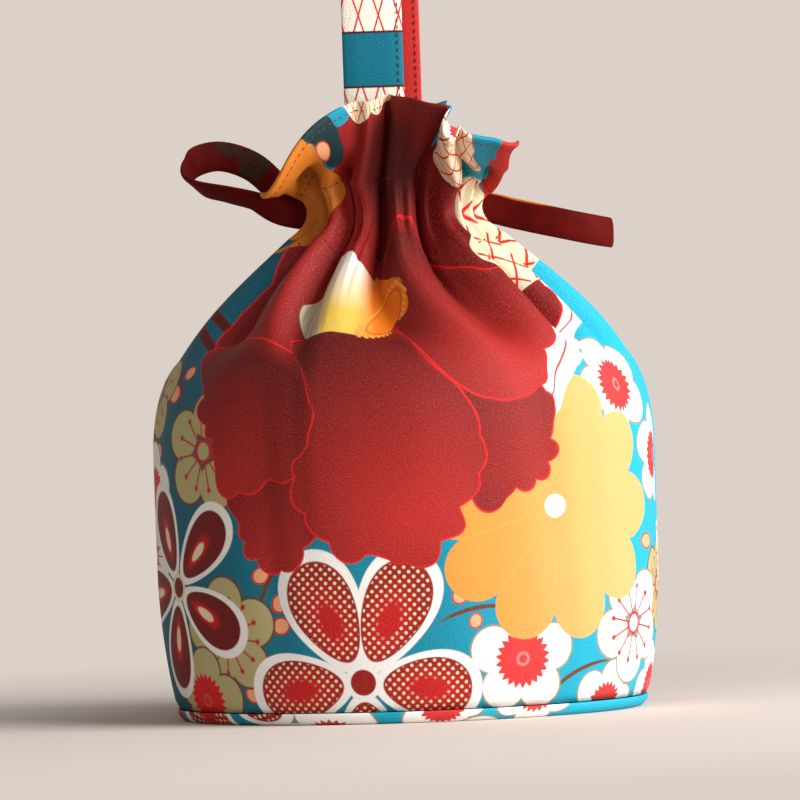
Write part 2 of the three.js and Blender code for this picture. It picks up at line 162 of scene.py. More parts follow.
def catmull_rom(points, per_span):
    """A smooth curve through the points, with the spacing of each span taken into account."""
    p = np.array(points, float)
    p = np.vstack([2 * p[0] - p[1], p, 2 * p[-1] - p[-2]])
    out = []
    for a, b, c, d in zip(p[:-3], p[1:-2], p[2:-1], p[3:]):
        gaps = [max(np.linalg.norm(x - y), 1e-6) ** 0.5 for x, y in ((b, a), (c, b), (d, c))]
        enter = (b - a) / gaps[0] - (c - a) / (gaps[0] + gaps[1]) + (c - b) / gaps[1]
        leave = (c - b) / gaps[1] - (d - b) / (gaps[1] + gaps[2]) + (d - c) / gaps[2]
        enter, leave = enter * gaps[1], leave * gaps[1]
        for t in np.linspace(0, 1, per_span, endpoint=False):
            out.append((2 * t**3 - 3 * t**2 + 1) * b + (t**3 - 2 * t**2 + t) * enter
                       + (-2 * t**3 + 3 * t**2) * c + (t**3 - t**2) * leave)
    out.append(p[-2])
    return np.array(out)


cord_points = (channel_ring(181, 245, 5) + strand(-1, 1) + left_loop[::-1] + strand(-1, -1)[::-1]
               + channel_ring(295, 425, 8) + strand(1, -1) + right_loop + strand(1, 1)[::-1]
               + channel_ring(475, 539, 5))
cord_route = catmull_rom(cord_points, 8)

# %% [markdown]
# A flat strip of cloth is a section carried along a route. The section is a flattened loop with full,
# round edges and faces that are a little crowned, as a turned tube of cloth has. Its width keeps to one
# axis, which a swept curve can't promise, and a tilt may lay it over: the front strand of the left loop
# lies half on its side.

# %% Strips of cloth along a route
UP = np.array([0.0, 0.0, 1.0])
RIGHT = np.array([1.0, 0.0, 0.0])


def strip_section(width, thickness, count):
    """Places across and through the strip, round its section."""
    turn = np.linspace(0, 2 * np.pi, count, endpoint=False)
    across = np.sign(np.cos(turn)) * np.abs(np.cos(turn)) ** 0.5 * width / 2
    through = np.sign(np.sin(turn)) * np.abs(np.sin(turn)) ** 0.8 * thickness / 2
    return across, through * (1 - 0.12 * (np.abs(across) > width * 0.36))


def strip_rings(route, width, thickness, width_axis, count, tilt=0.0):
    """Rings of points round a strip, with UVs: across the section and along the route."""
    across, through = strip_section(width, thickness, count)
    tangent = np.gradient(route, axis=0)
    tangent /= np.linalg.norm(tangent, axis=1, keepdims=True)
    side = width_axis - tangent * (tangent @ width_axis)[:, None]
    side /= np.linalg.norm(side, axis=1, keepdims=True)
    turn = np.broadcast_to(tilt, len(route))[:, None]
    side = side * np.cos(turn) + np.cross(tangent, side) * np.sin(turn)
    face = np.cross(tangent, side)
    rings = (route[:, None] + side[:, None] * across[None, :, None]
             + face[:, None] * through[None, :, None])
    girth = np.concatenate([[0], np.cumsum(np.hypot(np.diff(np.append(across, across[0])),
                                                    np.diff(np.append(through, through[0]))))])
    along = np.concatenate([[0], np.cumsum(np.linalg.norm(np.diff(route, axis=0), axis=1))])
    uvs = [[(g, a) for g in girth] for a in along]
    return rings, uvs, side, face


def close_ends(bm):
    """Fills the open ends of a tube and points its faces outwards."""
    ends = [e for e in bm.edges if e.is_boundary]
    bmesh.ops.holes_fill(bm, edges=ends)
    bmesh.ops.recalc_face_normals(bm, faces=bm.faces)


def eased(x, low, high):
    """Rises softly from 0 at the low value to 1 at the high one."""
    t = np.clip((x - low) / (high - low), 0, 1)
    return t * t * (3 - 2 * t)


# %% Drawstring
LAID_OVER = math.radians(60)
cord_tilt = LAID_OVER * eased(-cord_route[:, 0], 40.5, 56.5) * eased(-cord_route[:, 1], -2, 6)
cord_rings, cord_uvs, _, _ = strip_rings(cord_route, CORD_WIDTH, CORD_THICKNESS,
                                         UP, 20, cord_tilt)
bm = grid_mesh(cord_rings, cord_uvs, closed_across=True)
close_ends(bm)
drawstring = make_object("drawstring_cord", bm, "drawstring_cotton", "drawstring")
report(drawstring)

# %% [markdown]
# The cloth of the body. A smooth surface touches the top of every fold: wall, shoulder, channel and
# frill, counted as rows 0 to 4. The cloth keeps the width of the wall all the way up, so wherever the
# ring is shorter the rest of it has to lie in folds, and their depth follows from that length alone.
# This is how the CAD solid is made too, and the numbers are the same. A cloth simulation could gather a
# sheet as well, but it wouldn't fall into the folds that the photograph shows.

# %% Sizes of the cloth
BODY_WIDTH = round((cad_box[1][0] - cad_box[0][0]) / MM, 1)
BODY_DEPTH = 164.0
SEAM_HEIGHT = 4.8
DRAW_IN, DRAW_IN_HEIGHT = 6.3, 60.0
SHOULDER_HEIGHT, SHOULDER_RISE, SHOULDER_DROP, FULLNESS = 105.0, 43.0, 27.0, 0.555
NECK_WIDTH, NECK_DEPTH, NECK_HEIGHT = 73.0, 62.0, 191.0
CHANNEL_HEIGHT = 19.0
SPREAD_BELOW, SPREAD_ABOVE = 8.0, 3.0
FRILL = 33.5
FLARE_LEAST, FLARE_LEFT, FLARE_RIGHT = (math.radians(a) for a in (12, 96, 66))
LATE_LEFT, LATE_RIGHT = 5.0, 1.2
SLIT_SAG = 6.0
FLAP_LEFT, FLAP_RIGHT = 48 / 90, 47 / 90
FLUTE_LEANS, FLUTE_AT, FLUTE_WIDE = (math.radians(a) for a in (18, 30, 22))
HEM = 2.0

# Where each fold's ridge lies at the neck and at the shoulder's foot, in degrees, and its height on the
# shoulder and in the frill.
gathers = np.array([
    (-157, -152, 0.9, 0.9), (-130, -130, 1, 1), (-104, -106, 0.85, 0.9), (-76, -74, 1, 0.9),
    (-47, -35, 1, 0.9), (-23, -19, 0.8, 1), (2, 25, 1, 0.4), (39, 46, 1, 1.15), (61, 62, 0.85, 0.7),
    (80, 79, 1, 0.9), (100, 101, 0.9, 0.9), (137, 131, 1, 1), (171, 171, 0.85, 0.85)])
FOLDS = len(gathers)
LEFT_SEAM, RIGHT_SEAM = 2.5, 9.5
print("body", BODY_WIDTH, "by", BODY_DEPTH, "mm,", FOLDS, "folds")

# %% [markdown]
# The smooth surface is a stack of ovals. The wall draws in a little towards the base, the shoulder curves
# in to the neck, the channel is a waist, and the frill falls outwards from it, most of all at the slits.
# A sculpted mesh could have this form too. One function for each stretch is easier to change.

# %% Wall, shoulder and channel
def ellipse(angle, half_width, half_depth, z):
    """A place on an oval. The angle starts at the front and runs to the right."""
    return np.stack([half_width * np.sin(angle), -half_depth * np.cos(angle), z + 0 * angle], -1)


def bezier(t, a, b, c, d):
    return a * (1 - t) ** 3 + 3 * b * t * (1 - t) ** 2 + 3 * c * t * t * (1 - t) + d * t**3


def wall(angle, share):
    """From the base seam to the widest ring, drawn in towards the seam."""
    z = SEAM_HEIGHT + (SHOULDER_HEIGHT - SEAM_HEIGHT) * share
    inward = DRAW_IN * max(0, 1 - (z - SEAM_HEIGHT) / (DRAW_IN_HEIGHT - SEAM_HEIGHT)) ** 2
    return ellipse(angle, BODY_WIDTH / 2 - inward, BODY_DEPTH / 2 - inward, z)


def shoulder(angle, share):
    """From the widest ring to the foot of the channel."""
    halves = []
    for full, neck in ((BODY_WIDTH / 2, NECK_WIDTH / 2), (BODY_DEPTH / 2, NECK_DEPTH / 2)):
        narrow = neck + SPREAD_BELOW
        halves.append(bezier(share, full, full, narrow + FULLNESS * (full - narrow), narrow))
    z = bezier(share, SHOULDER_HEIGHT, SHOULDER_HEIGHT + SHOULDER_RISE, NECK_HEIGHT - SHOULDER_DROP,
               NECK_HEIGHT)
    return ellipse(angle, halves[0], halves[1], z)


def channel(angle, share):
    """The drawn waist. Its upper edge sags at the slits."""
    spread = (SPREAD_BELOW if share < 0.5 else SPREAD_ABOVE) * (2 * share - 1) ** 2
    z = NECK_HEIGHT + share * CHANNEL_HEIGHT - SLIT_SAG * np.sin(angle) ** 8 * max(0, 2 * share - 1)
    return ellipse(angle, NECK_WIDTH / 2 + spread, NECK_DEPTH / 2 + spread, z)


# %% Frill, and the whole surface by rows
def lean(angle):
    """0 where the rim stands up, in the middle of a flap, and 1 at the slits, where it falls outwards."""
    late = np.where(np.sin(angle) < 0, LATE_LEFT, LATE_RIGHT)
    return np.abs(np.sin(angle)) ** late


def frill(angle, share, centre):
    """A flap above the channel, narrower than the channel and leaning outwards."""
    left = np.sin(angle) < 0
    flare = FLARE_LEAST + (np.where(left, FLARE_LEFT, FLARE_RIGHT) - FLARE_LEAST) * lean(angle)
    flare = flare + FLUTE_LEANS * np.exp(-((angle - FLUTE_AT) / FLUTE_WIDE) ** 2)
    reach = np.sin(flare) * FRILL * share
    rise = np.cos(flare) * FRILL * share
    offset = np.arctan2(np.sin(angle - centre), np.cos(angle - centre))
    narrowing = np.where(left, FLAP_LEFT, FLAP_RIGHT) - 1
    turned = centre + offset * (1 + narrowing * (1 - (1 - share) ** 2))
    out = ellipse(turned, 2 / NECK_WIDTH, 2 / NECK_DEPTH, 0)
    out /= np.linalg.norm(out, axis=-1, keepdims=True)
    return channel(turned, 1.0) + out * reach[..., None] + UP * rise[..., None]


def envelope(angle, row, centre):
    """The whole surface by rows, for the panel whose middle is at the centre angle."""
    if row <= 1:
        return wall(angle, row)
    if row <= 2:
        return shoulder(angle, row - 1)
    if row <= 3:
        return channel(angle, row - 2)
    return frill(angle, row - 3, centre)


def directions(angle, row, centre):
    """Unit vectors round the bag, up the cloth and out of it."""
    step = 0.01
    around = envelope(angle + step, row, centre) - envelope(angle - step, row, centre)
    up = envelope(angle, min(row + step, 4), centre) - envelope(angle, max(row - step, 0), centre)
    out = np.cross(around, up)
    return [v / np.linalg.norm(v, axis=-1, keepdims=True) for v in (around, up, out)]


# %% [markdown]
# A fold is a wave across the smooth surface. Its ridge touches the surface and its valley lies below, as
# deep as the spare cloth asks for. Between the large folds lie small creases where the cord pulls. They
# could be left to a bump in the material, but then the outline and the shadows would miss them.

# %% Depth and place of the folds
def ring_length(row):
    """Length of the smooth surface's ring at a row, over both panels."""
    half = np.linspace(-np.pi / 2, np.pi / 2, 61)
    return sum(np.linalg.norm(np.diff(envelope(c + half, row, c), axis=0), axis=1).sum()
               for c in (0.0, np.pi))


CLOTH_AROUND = ring_length(1)


def gather_depth(row):
    """Half the height of the waves that take up the spare cloth of a row."""
    if row <= 1:
        return 0.0
    around = ring_length(row)
    spare = max(0.0, CLOTH_AROUND / around - 1.02)
    return around / FOLDS / np.pi * math.sqrt(spare) * eased(spare, 0, 0.25)


def fold_angle(fold, row):
    """Where a fold, counted round the bag, lies at a row."""
    neck, foot = gathers[:, 0], gathers[:, 1]
    ridges = neck + (foot - neck) * eased(2 - row, 0, 0.8)
    return np.interp(fold, np.arange(2 * FOLDS), np.radians(np.concatenate([ridges, ridges + 360])))


# %% Small creases and long waves
# Each kind of crease: how many go round the bag, their share, where they start and how they slant.
CREASES = ((35, 0.65, 0.6, 1.5), (56, 0.5, 2.1, -1.1), (90, 0.2, 0.9, 2.3))


def crease(turn):
    """A wave with sharp crests and round valleys."""
    return 1 - 2 * np.abs(np.sin(turn / 2))


def crumple(fold, row):
    """Small creases between the large folds, near the channel. They repeat after a whole turn."""
    near = eased(row, 1.55, 2.0) * (1 - 0.85 * eased(row, 2.8, 3.35))
    waves = sum(share * crease(2 * np.pi * count / FOLDS * fold + start + slant * row)
                for count, share, start, slant in CREASES)
    pinched = 1.0 + 1.1 * np.exp(-(((row - 2.45) / 0.45) ** 2))
    return pinched * near * (1 + waves)


def slack(fold, row):
    """The filled wall isn't quite smooth: long, shallow waves run down from the folds."""
    fades = eased(row, 0.05, 0.5) * (1 - eased(row, 1.5, 1.9))
    waves = np.sin(2 * np.pi * fold + 0.4) + 0.7 * np.sin(2 * np.pi * 22 / FOLDS * fold + 2.5 * row)
    return 0.35 * fades * (1.7 + waves)


def cloth_point(fold, row, centre, inset=0.0):
    """A place on the folded cloth. At the sides the frill lies flat."""
    angle = fold_angle(fold, row)
    around, _, out = directions(angle, row, centre)
    heights = gathers[:, 2] + (gathers[:, 3] - gathers[:, 2]) * eased(row, 2.4, 3.2)
    height = np.interp(fold, np.arange(2 * FOLDS), np.concatenate([heights, heights]))
    ridge = (1 + np.cos(2 * np.pi * fold)) / 2
    side = np.sin(angle)
    flat = np.where(side < 0, eased(-side, 0.25, 0.65), eased(side, 0.62, 0.80))
    flat = 0.95 * flat * eased(row, 2.9, 3.5)
    depth = 2 * gather_depth(row) * (1 - flat)
    sunk = depth * (1 - ridge * height) + crumple(fold, row) * (1 - flat) + slack(fold, row) + inset
    swell = 0.11 * depth * np.sin(2 * np.pi * fold)
    return envelope(angle, row, centre) - out * sunk[..., None] + around * swell[..., None]


print("cloth", round(CLOTH_AROUND), "mm round, folds",
      [round(2 * float(gather_depth(r)), 1) for r in (1.5, 2, 2.5, 3, 4)], "mm deep")

# %% [markdown]
# Each panel is one sheet. It runs from the base seam up the wall, over the shoulder, through the channel
# and up to the rim, turns over there with a soft hem, and comes down again inside as the facing. Its UV
# map counts millimetres of cloth from the middle of the base seam, so the print bends with the folds.
# A shell with two modelled faces would need twice the points. The Solidify modifier adds the second one.

# %% Rows of a panel and the length of cloth up to each one
outer_rows = np.concatenate([np.linspace(0, 1, 30), np.linspace(1, 2, 64)[1:], np.linspace(2, 3, 18)[1:],
                             np.linspace(3, 4, 28)[1:]])
inner_rows = np.linspace(4, 3, 18)
fine = np.linspace(0, 4, 801)
spine = np.array([envelope(np.array(0.6), r, 0.0) for r in fine])
spine_length = np.concatenate([[0], np.cumsum(np.linalg.norm(np.diff(spine, axis=0), axis=1))])
CLOTH_HEIGHT = spine_length[-1]

dense = np.linspace(0, 2 * FOLDS - 1, 8001)
at_wall = envelope(fold_angle(dense, 1.0), 1.0, 0.0)
arc = np.concatenate([[0], np.cumsum(np.linalg.norm(np.diff(at_wall, axis=0), axis=1))])
print("panel", round(CLOTH_AROUND / 2), "by", round(CLOTH_HEIGHT), "mm and its facing")


# %% One panel of cloth
CLOTH_THICKNESS = 0.45
PANEL_COLUMNS = 280
SEAM_DIP, SEAM_REACH = 0.7, 1.6
TUCK_DIP, TUCK_REACH = 0.9, 1.8
FACING_INSET, FACING_PLEAT = 18.0, 2.5
FACING_HEIGHTS, FACING_STEP = (207, 203, 198, 194), 5


def panel_points(first, last, centre, columns):
    """Rows of points, the place of each column and the length of cloth up to each row."""
    low, high = np.interp([first, last], dense, arc)
    across = np.linspace(low, high, columns)
    fold = np.interp(across, arc, dense)
    u = across - (low + high) / 2
    seam = SEAM_DIP * np.exp(-((np.abs(u) - np.abs(u).max()) / SEAM_REACH) ** 2)
    points, lengths = [], []
    for row in outer_rows:
        length = np.interp(row, fine, spine_length)
        tuck = TUCK_DIP * math.exp(-((length / TUCK_REACH) ** 2))
        points.append(cloth_point(fold, row, centre, seam + tuck))
        lengths.append(length)
    up = directions(fold_angle(fold, 4.0), 4.0, centre)[1]
    for turn in np.radians((45, 90, 135)):
        inset = HEM / 2 * (1 - math.cos(turn))
        points.append(cloth_point(fold, 4.0, centre, seam + inset) + up * HEM / 2 * math.sin(turn))
        lengths.append(CLOTH_HEIGHT + HEM / 2 * turn)
    hem = CLOTH_HEIGHT + HEM / 2 * np.pi
    for row in inner_rows:
        points.append(cloth_point(fold, row, centre, seam + HEM))
        lengths.append(hem + CLOTH_HEIGHT - np.interp(row, fine, spine_length))
    ring_angle = fold_angle(fold, 2.5)
    out = directions(ring_angle, 2.5, centre)[2]
    pleat = FACING_PLEAT * np.cos(np.pi * fold)[:, None] ** 2
    for z in FACING_HEIGHTS:
        ring = channel(ring_angle, 0.5) - out * (FACING_INSET + pleat)
        ring[:, 2] = z
        points.append(ring)
        lengths.append(lengths[-1] + FACING_STEP)
    return points, u, lengths


def make_panel(node, first, last, centre, turned):
    """A panel from seam to seam, and the height of its cut. The back one has its print turned round."""
    points, u, lengths = panel_points(first, last, centre, PANEL_COLUMNS)
    if turned:
        uvs = [[(-x, CLOTH_HEIGHT - v) for x in u] for v in lengths]
    else:
        uvs = [[(x, v) for x in u] for v in lengths]
    made = make_object(node + "_cloth", grid_mesh(points, uvs), "printed_cotton", node)
    solid = made.modifiers.new("thickness", "SOLIDIFY")
    solid.thickness = CLOTH_THICKNESS * MM
    solid.offset = -1.0
    report(made)
    return made, lengths[-1]


front_panel, panel_cut = make_panel("front_panel", LEFT_SEAM, RIGHT_SEAM, 0.0, False)
back_panel, _ = make_panel("back_panel", RIGHT_SEAM, LEFT_SEAM + FOLDS, math.pi, True)

# %% [markdown]
# Thread holds all this together: one row of stitches just inside the rim and one on each side of the
# channel. Dashes in the material would be less work, but they would look printed on. So every stitch is
# a short, round-ended bead of thread that lies on the cloth.

# %% Stitches along a line
def stitch_rows(lines, length, gap, thickness):
    """A bmesh of stitches. A line is a list of points with the outward direction at each one."""
    bead = bmesh.new()
    bmesh.ops.create_uvsphere(bead, u_segments=8, v_segments=5, radius=1.0)
    bead.verts.index_update()
    ball = np.array([v.co for v in bead.verts]) * np.array([length, thickness, thickness]) / 2
    faces = [[v.index for v in f.verts] for f in bead.faces]
    bead.free()
    bm = bmesh.new()
    for points, outward in lines:
        run = np.concatenate([[0], np.cumsum(np.linalg.norm(np.diff(points, axis=0), axis=1))])
        for start in np.arange(gap, run[-1] - length, length + gap):
            a, b, out = (np.array([np.interp(x, run, table[:, k]) for k in range(3)])
                         for x, table in ((start, points), (start + length, points), (start, outward)))
            along = (b - a) / np.linalg.norm(b - a)
            rise = out - along * (out @ along)
            rise /= np.linalg.norm(rise)
            turned = ball @ np.array([along, np.cross(rise, along), rise])
            corners = [bm.verts.new(Vector(p) * MM) for p in turned + (a + b) / 2 + rise * 0.1 * thickness]
            for face in faces:
                bm.faces.new([corners[i] for i in face])
    return bm


def cloth_line(first, last, row, centre):
    """Points along a row of the cloth, and the outward direction at each one."""
    fold = np.linspace(first, last, 900)
    points = cloth_point(fold, row, centre)
    around = np.gradient(points, axis=0)
    up = cloth_point(fold, min(row + 0.02, 4), centre) - cloth_point(fold, row - 0.02, centre)
    out = np.cross(around, up)
    return points, out / np.linalg.norm(out, axis=1, keepdims=True)


# %% Stitches of the panels, and the panels as sheets
STITCH, STITCH_GAP, THREAD = 2.1, 0.9, 0.5
SEAM_CLEAR = 0.04
STITCHED_ROWS = (2.04, 3.0, 3.92)
spans = ((LEFT_SEAM + SEAM_CLEAR, RIGHT_SEAM - SEAM_CLEAR, 0.0),
         (RIGHT_SEAM + SEAM_CLEAR, LEFT_SEAM + FOLDS - SEAM_CLEAR, math.pi))
seam_lines = [cloth_line(first, last, row, centre) for first, last, centre in spans for row in STITCHED_ROWS]
stitches = make_object("cloth_stitches", stitch_rows(seam_lines, STITCH, STITCH_GAP, THREAD),
                       "printed_cotton")
report(stitches)
cut = (CLOTH_AROUND / 2 * MM, panel_cut * MM)

# %% [markdown]
# The base is an oval of the same cloth over a stiffening. Its edge is rolled up to the base seam. An
# extruded oval with a bevel comes close, but its edge would be one plain round. So it is a spun profile,
# drawn as a round plate first and then narrowed to the oval. Its print is a piece of the same pattern.

# %% Base
BASE_HALF = BODY_WIDTH / 2 - DRAW_IN
BASE_DEPTH = BODY_DEPTH / 2 - DRAW_IN
EDGE = 4.5
SPIN_STEPS = 160
PRINT_STRETCH, PRINT_SHIFT = 1.05, 78
profile = [(0.0, 0.0)] + [(x, 0.0) for x in np.linspace(6, BASE_HALF - EDGE, 16)]
profile += [(BASE_HALF - EDGE + EDGE * math.sin(a), EDGE - EDGE * math.cos(a))
            for a in np.radians(np.linspace(9, 90, 10))]
profile += [(BASE_HALF - 0.5, EDGE + 0.15), (BASE_HALF - 3, EDGE - 0.4), (BASE_HALF - 5, 1.9), (0.0, 1.4)]
bm = bmesh.new()
ring = [bm.verts.new((x * MM, 0, z * MM)) for x, z in profile]
edges = [bm.edges.new(pair) for pair in zip(ring, ring[1:])]
bmesh.ops.spin(bm, geom=ring + edges, cent=(0, 0, 0), axis=(0, 0, 1), angle=2 * math.pi,
               steps=SPIN_STEPS, use_merge=True)
bmesh.ops.remove_doubles(bm, verts=bm.verts, dist=1e-6)
bmesh.ops.scale(bm, vec=(1, BASE_DEPTH / BASE_HALF, 1), verts=bm.verts)
bmesh.ops.recalc_face_normals(bm, faces=bm.faces)
layer = bm.loops.layers.uv.new("cloth")
for face in bm.faces:
    for loop in face.loops:
        x, y, z = loop.vert.co / MM
        loop[layer].uv = (PRINT_STRETCH * x + PRINT_SHIFT, y + BASE_DEPTH + EDGE - z)
base_panel = make_object("base_panel_cloth", bm, "printed_cotton", "base_panel")
report(base_panel)

# %% [markdown]
# The lining is a smooth bag of thin cotton just inside the folds, open at its top, with its own floor.
# It could follow every fold, as a sewn one does. But it hardly shows, only to someone who looks into the
# mouth, so it only has small ripples. Its wall goes up outside and down inside, as one closed sheet.

# %% Wall of the lining
LINING_EASE = 1.5
RIPPLE, RIPPLES = 0.25, 26


def lining_point(angle, row, inset):
    ripple = RIPPLE * np.sin(RIPPLES * angle) * eased(row, 1.0, 1.7)
    sunk = 2 * gather_depth(row) + LINING_EASE + inset + ripple
    out = directions(angle, row, 0.0)[2]
    return envelope(angle, row, 0.0) - out * np.reshape(sunk, (-1, 1))


turns = np.linspace(0, 2 * np.pi, 128, endpoint=False)
lining_rows = np.linspace(0.03, 1.9, 40)
lining = [lining_point(turns, row, 0.1) for row in lining_rows]
lining += [lining_point(turns, row, 0.6) for row in lining_rows[::-1]]
lining.append(lining[0])
uvs = [[(t * 92, 6.5 * i) for t in np.append(turns, 2 * np.pi)] for i in range(len(lining))]
bm = grid_mesh(lining, uvs, closed_across=True)
bmesh.ops.remove_doubles(bm, verts=bm.verts, dist=1e-7)
bmesh.ops.recalc_face_normals(bm, faces=bm.faces)
lining_wall = make_object("lining_wall_cloth", bm, "lining_cotton", "lining_wall")
report(lining_wall)

# %% Floor of the lining, and the lining as sheets
FLOOR_GAP = 0.3
floor_half, floor_depth = BASE_HALF - EDGE - FLOOR_GAP, BASE_DEPTH - EDGE - FLOOR_GAP
shares = np.concatenate([np.linspace(0.02, 0.985, 12), [1.0, 1.0, 0.985], np.linspace(0.9, 0.02, 10)])
heights = np.concatenate([np.full(12, 1.55), [1.7, 2.1, 2.25], np.full(10, 2.25)])
plate = [ellipse(turns, floor_half * s, floor_depth * s, h) for s, h in zip(shares, heights)]
uvs = [[(t * 92 * s, 90 * s) for t in np.append(turns, 2 * np.pi)] for s in shares]
bm = grid_mesh(plate, uvs, closed_across=True)
close_ends(bm)
lining_base = make_object("lining_base_cloth", bm, "lining_cotton", "lining_base")
report(lining_base)

# %% [markdown]
# The strap handle is a strip of the same cloth folded into a flat band. It is a fixed loop and no free
# cord: both ends are sewn inside the rim. Bending a long box would stretch its print at the top. So the
# function that made the drawstring carries its section up, over and down. Stitches close its right edge.

# %% Strap handle
STRAP_WIDTH, STRAP_THICKNESS = 24.0, 3.0
STRAP_TOP = round(cad_box[1][2] / MM, 1)
STITCH_INSET, STRAP_THREAD = 1.9, 0.45
strap_front = np.array([-7.0, -19.4, 226.4])
strap_back = np.array([0.0, 19.3, 226.4])
arch = (strap_back[1] - strap_front[1]) / 2
crown = STRAP_TOP - STRAP_THICKNESS / 2
front_leg = np.linspace(strap_front, [*strap_front[:2], crown - arch], 40)
over = [(strap_front + strap_back) / 2 + (strap_back - strap_front) / 2 * -math.cos(a)
        + np.array([0, 0, crown - arch - strap_front[2] + arch * math.sin(a)])
        for a in np.linspace(0, math.pi, 33)[1:-1]]
back_leg = np.linspace([*strap_back[:2], crown - arch], strap_back, 40)
strap_route = np.vstack([front_leg, over, back_leg])
strap_rings, strap_uvs, strap_side, strap_face = strip_rings(
    strap_route, STRAP_WIDTH, STRAP_THICKNESS, RIGHT, 32)
bm = grid_mesh(strap_rings, strap_uvs, closed_across=True)
close_ends(bm)
strap_handle = make_object("strap_handle_cloth", bm, "strap_cotton", "strap_handle")
report(strap_handle)
strap_line = strap_route + strap_side * (STRAP_WIDTH / 2 - STITCH_INSET)
lines = [(strap_line + strap_face * way * STRAP_THICKNESS * 0.47, strap_face * way) for way in (1, -1)]
strap_stitches = make_object("strap_stitches", stitch_rows(lines, STITCH, STITCH_GAP, STRAP_THREAD),
                             "strap_cotton")
report(strap_stitches)

# %% [markdown]
# Materials are made of shader nodes, and their maths is easier to read as formulas. One small class wraps
# a socket, so that numbers and colours on the cloth can be added, multiplied and compared. Placing each
# node by hand gives the same materials, but hundreds of wires are hard to read and to change.

# %% Formulas on a surface
class Field:
    """A value at every point of a surface, kept as the shader socket that carries it."""

    def __init__(self, tree, socket=None):
        self.tree = tree
        self.socket = socket

    def node(self, kind, settings=None, sockets=None, out=0):
        """Any shader node: its type, its settings and what goes into its sockets."""
        made = self.tree.nodes.new(kind)
        for name, value in (settings or {}).items():
            setattr(made, name, value)
        for key, value in (sockets or {}).items():
            if isinstance(value, Field):
                self.tree.links.new(value.socket, made.inputs[key])
            else:
                made.inputs[key].default_value = value
        return Field(self.tree, made.outputs[out])

    def math(self, operation, *values, clamp=False):
        return self.node("ShaderNodeMath", {"operation": operation, "use_clamp": clamp},
                         dict(enumerate(values)))

    def __add__(self, other):
        return self.math("ADD", self, other)

    def __sub__(self, other):
        return self.math("SUBTRACT", self, other)

    def __mul__(self, other):
        return self.math("MULTIPLY", self, other)

    def __truediv__(self, other):
        return self.math("DIVIDE", self, other)

    def __rsub__(self, other):
        return self.math("SUBTRACT", other, self)

    def __rtruediv__(self, other):
        return self.math("DIVIDE", other, self)

    __radd__ = __add__
    __rmul__ = __mul__

    def under(self, edge, soft=0.45):
        """1 where the value is below the edge, 0 above it, and soft in between."""
        return self.math("MULTIPLY_ADD", self, -1 / soft, edge / soft + 0.5, clamp=True)

    def least(self, other):
        return self.math("MINIMUM", self, other)

    def most(self, other):
        return self.math("MAXIMUM", self, other)

    def fold(self, width):
        """Runs up and down between 0 and the width, over and over."""
        return self.math("PINGPONG", self, width)

    def placed(self, centre, turn=0.0, size=(1.0, 1.0)):
        """The same coordinates measured from a centre, along a turned axis and in units of a size."""
        return self.node("ShaderNodeMapping", {"vector_type": "TEXTURE"}, {
            "Vector": self, "Location": (*centre, 0), "Rotation": (0, 0, math.radians(turn)),
            "Scale": (*size, 1)})

    def parts(self):
        """The first and the second coordinate."""
        first = self.node("ShaderNodeSeparateXYZ", None, {0: self})
        return first, Field(self.tree, first.socket.node.outputs[1])

    def length(self):
        return self.node("ShaderNodeVectorMath", {"operation": "LENGTH"}, {0: self}, "Value")

    def paint(self, colour, mask):
        """This colour, covered with another one where the mask is 1."""
        return self.node("ShaderNodeMix", {"data_type": "RGBA"}, {0: mask, 6: self, 7: colour}, 2)

    def noise(self, scale, detail=2.0):
        return self.node("ShaderNodeTexNoise", None, {"Vector": self, "Scale": scale, "Detail": detail})


# %% Colours and materials
def rgb(*screen):
    """A colour as it looks on a screen, turned into the linear one that a shader needs."""
    linear = (c / 12.92 if c <= 0.04045 else ((c + 0.055) / 1.055) ** 2.4 for c in screen)
    return (*linear, 1.0)


def new_material(name, **constants):
    """A material whose shader has some sockets set to constant values."""
    material = bpy.data.materials.new(name)
    material.use_nodes = True
    shader = material.node_tree.nodes["Principled BSDF"]
    for socket, value in constants.items():
        shader.inputs[socket.replace("_", " ")].default_value = value
    return material


def coordinates(material):
    """Places on the cloth, in millimetres."""
    return Field(material.node_tree).node("ShaderNodeUVMap", {"uv_map": "cloth"})


def blend(low, high, share):
    """The low colour where the share is 0 and the high one where it is 1."""
    return share.node("ShaderNodeMix", {"data_type": "RGBA"}, {0: share, 6: low, 7: high}, 2)


def finish_material(material, colour, roughness, height, distance):
    """Connects the finished colour, the roughness and the bump's height to the shader."""
    tree = material.node_tree
    shader = tree.nodes["Principled BSDF"]
    tree.links.new(colour.socket, shader.inputs["Base Color"])
    tree.links.new(roughness.socket, shader.inputs["Roughness"])
    bump = height.node("ShaderNodeBump", None, {"Height": height, "Distance": distance}, "Normal")
    tree.links.new(bump.socket, shader.inputs["Normal"])
    print(material.name, len(tree.nodes), "nodes")


# %% [markdown]
# The print is a traditional kind of flower pattern: peony, plum blossoms, a chrysanthemum and a lattice
# on a teal ground. A picture of it could be wrapped round the cloth, but it would blur from nearby. So it
# is drawn with formulas, one motif over the other, in millimetres of cloth.

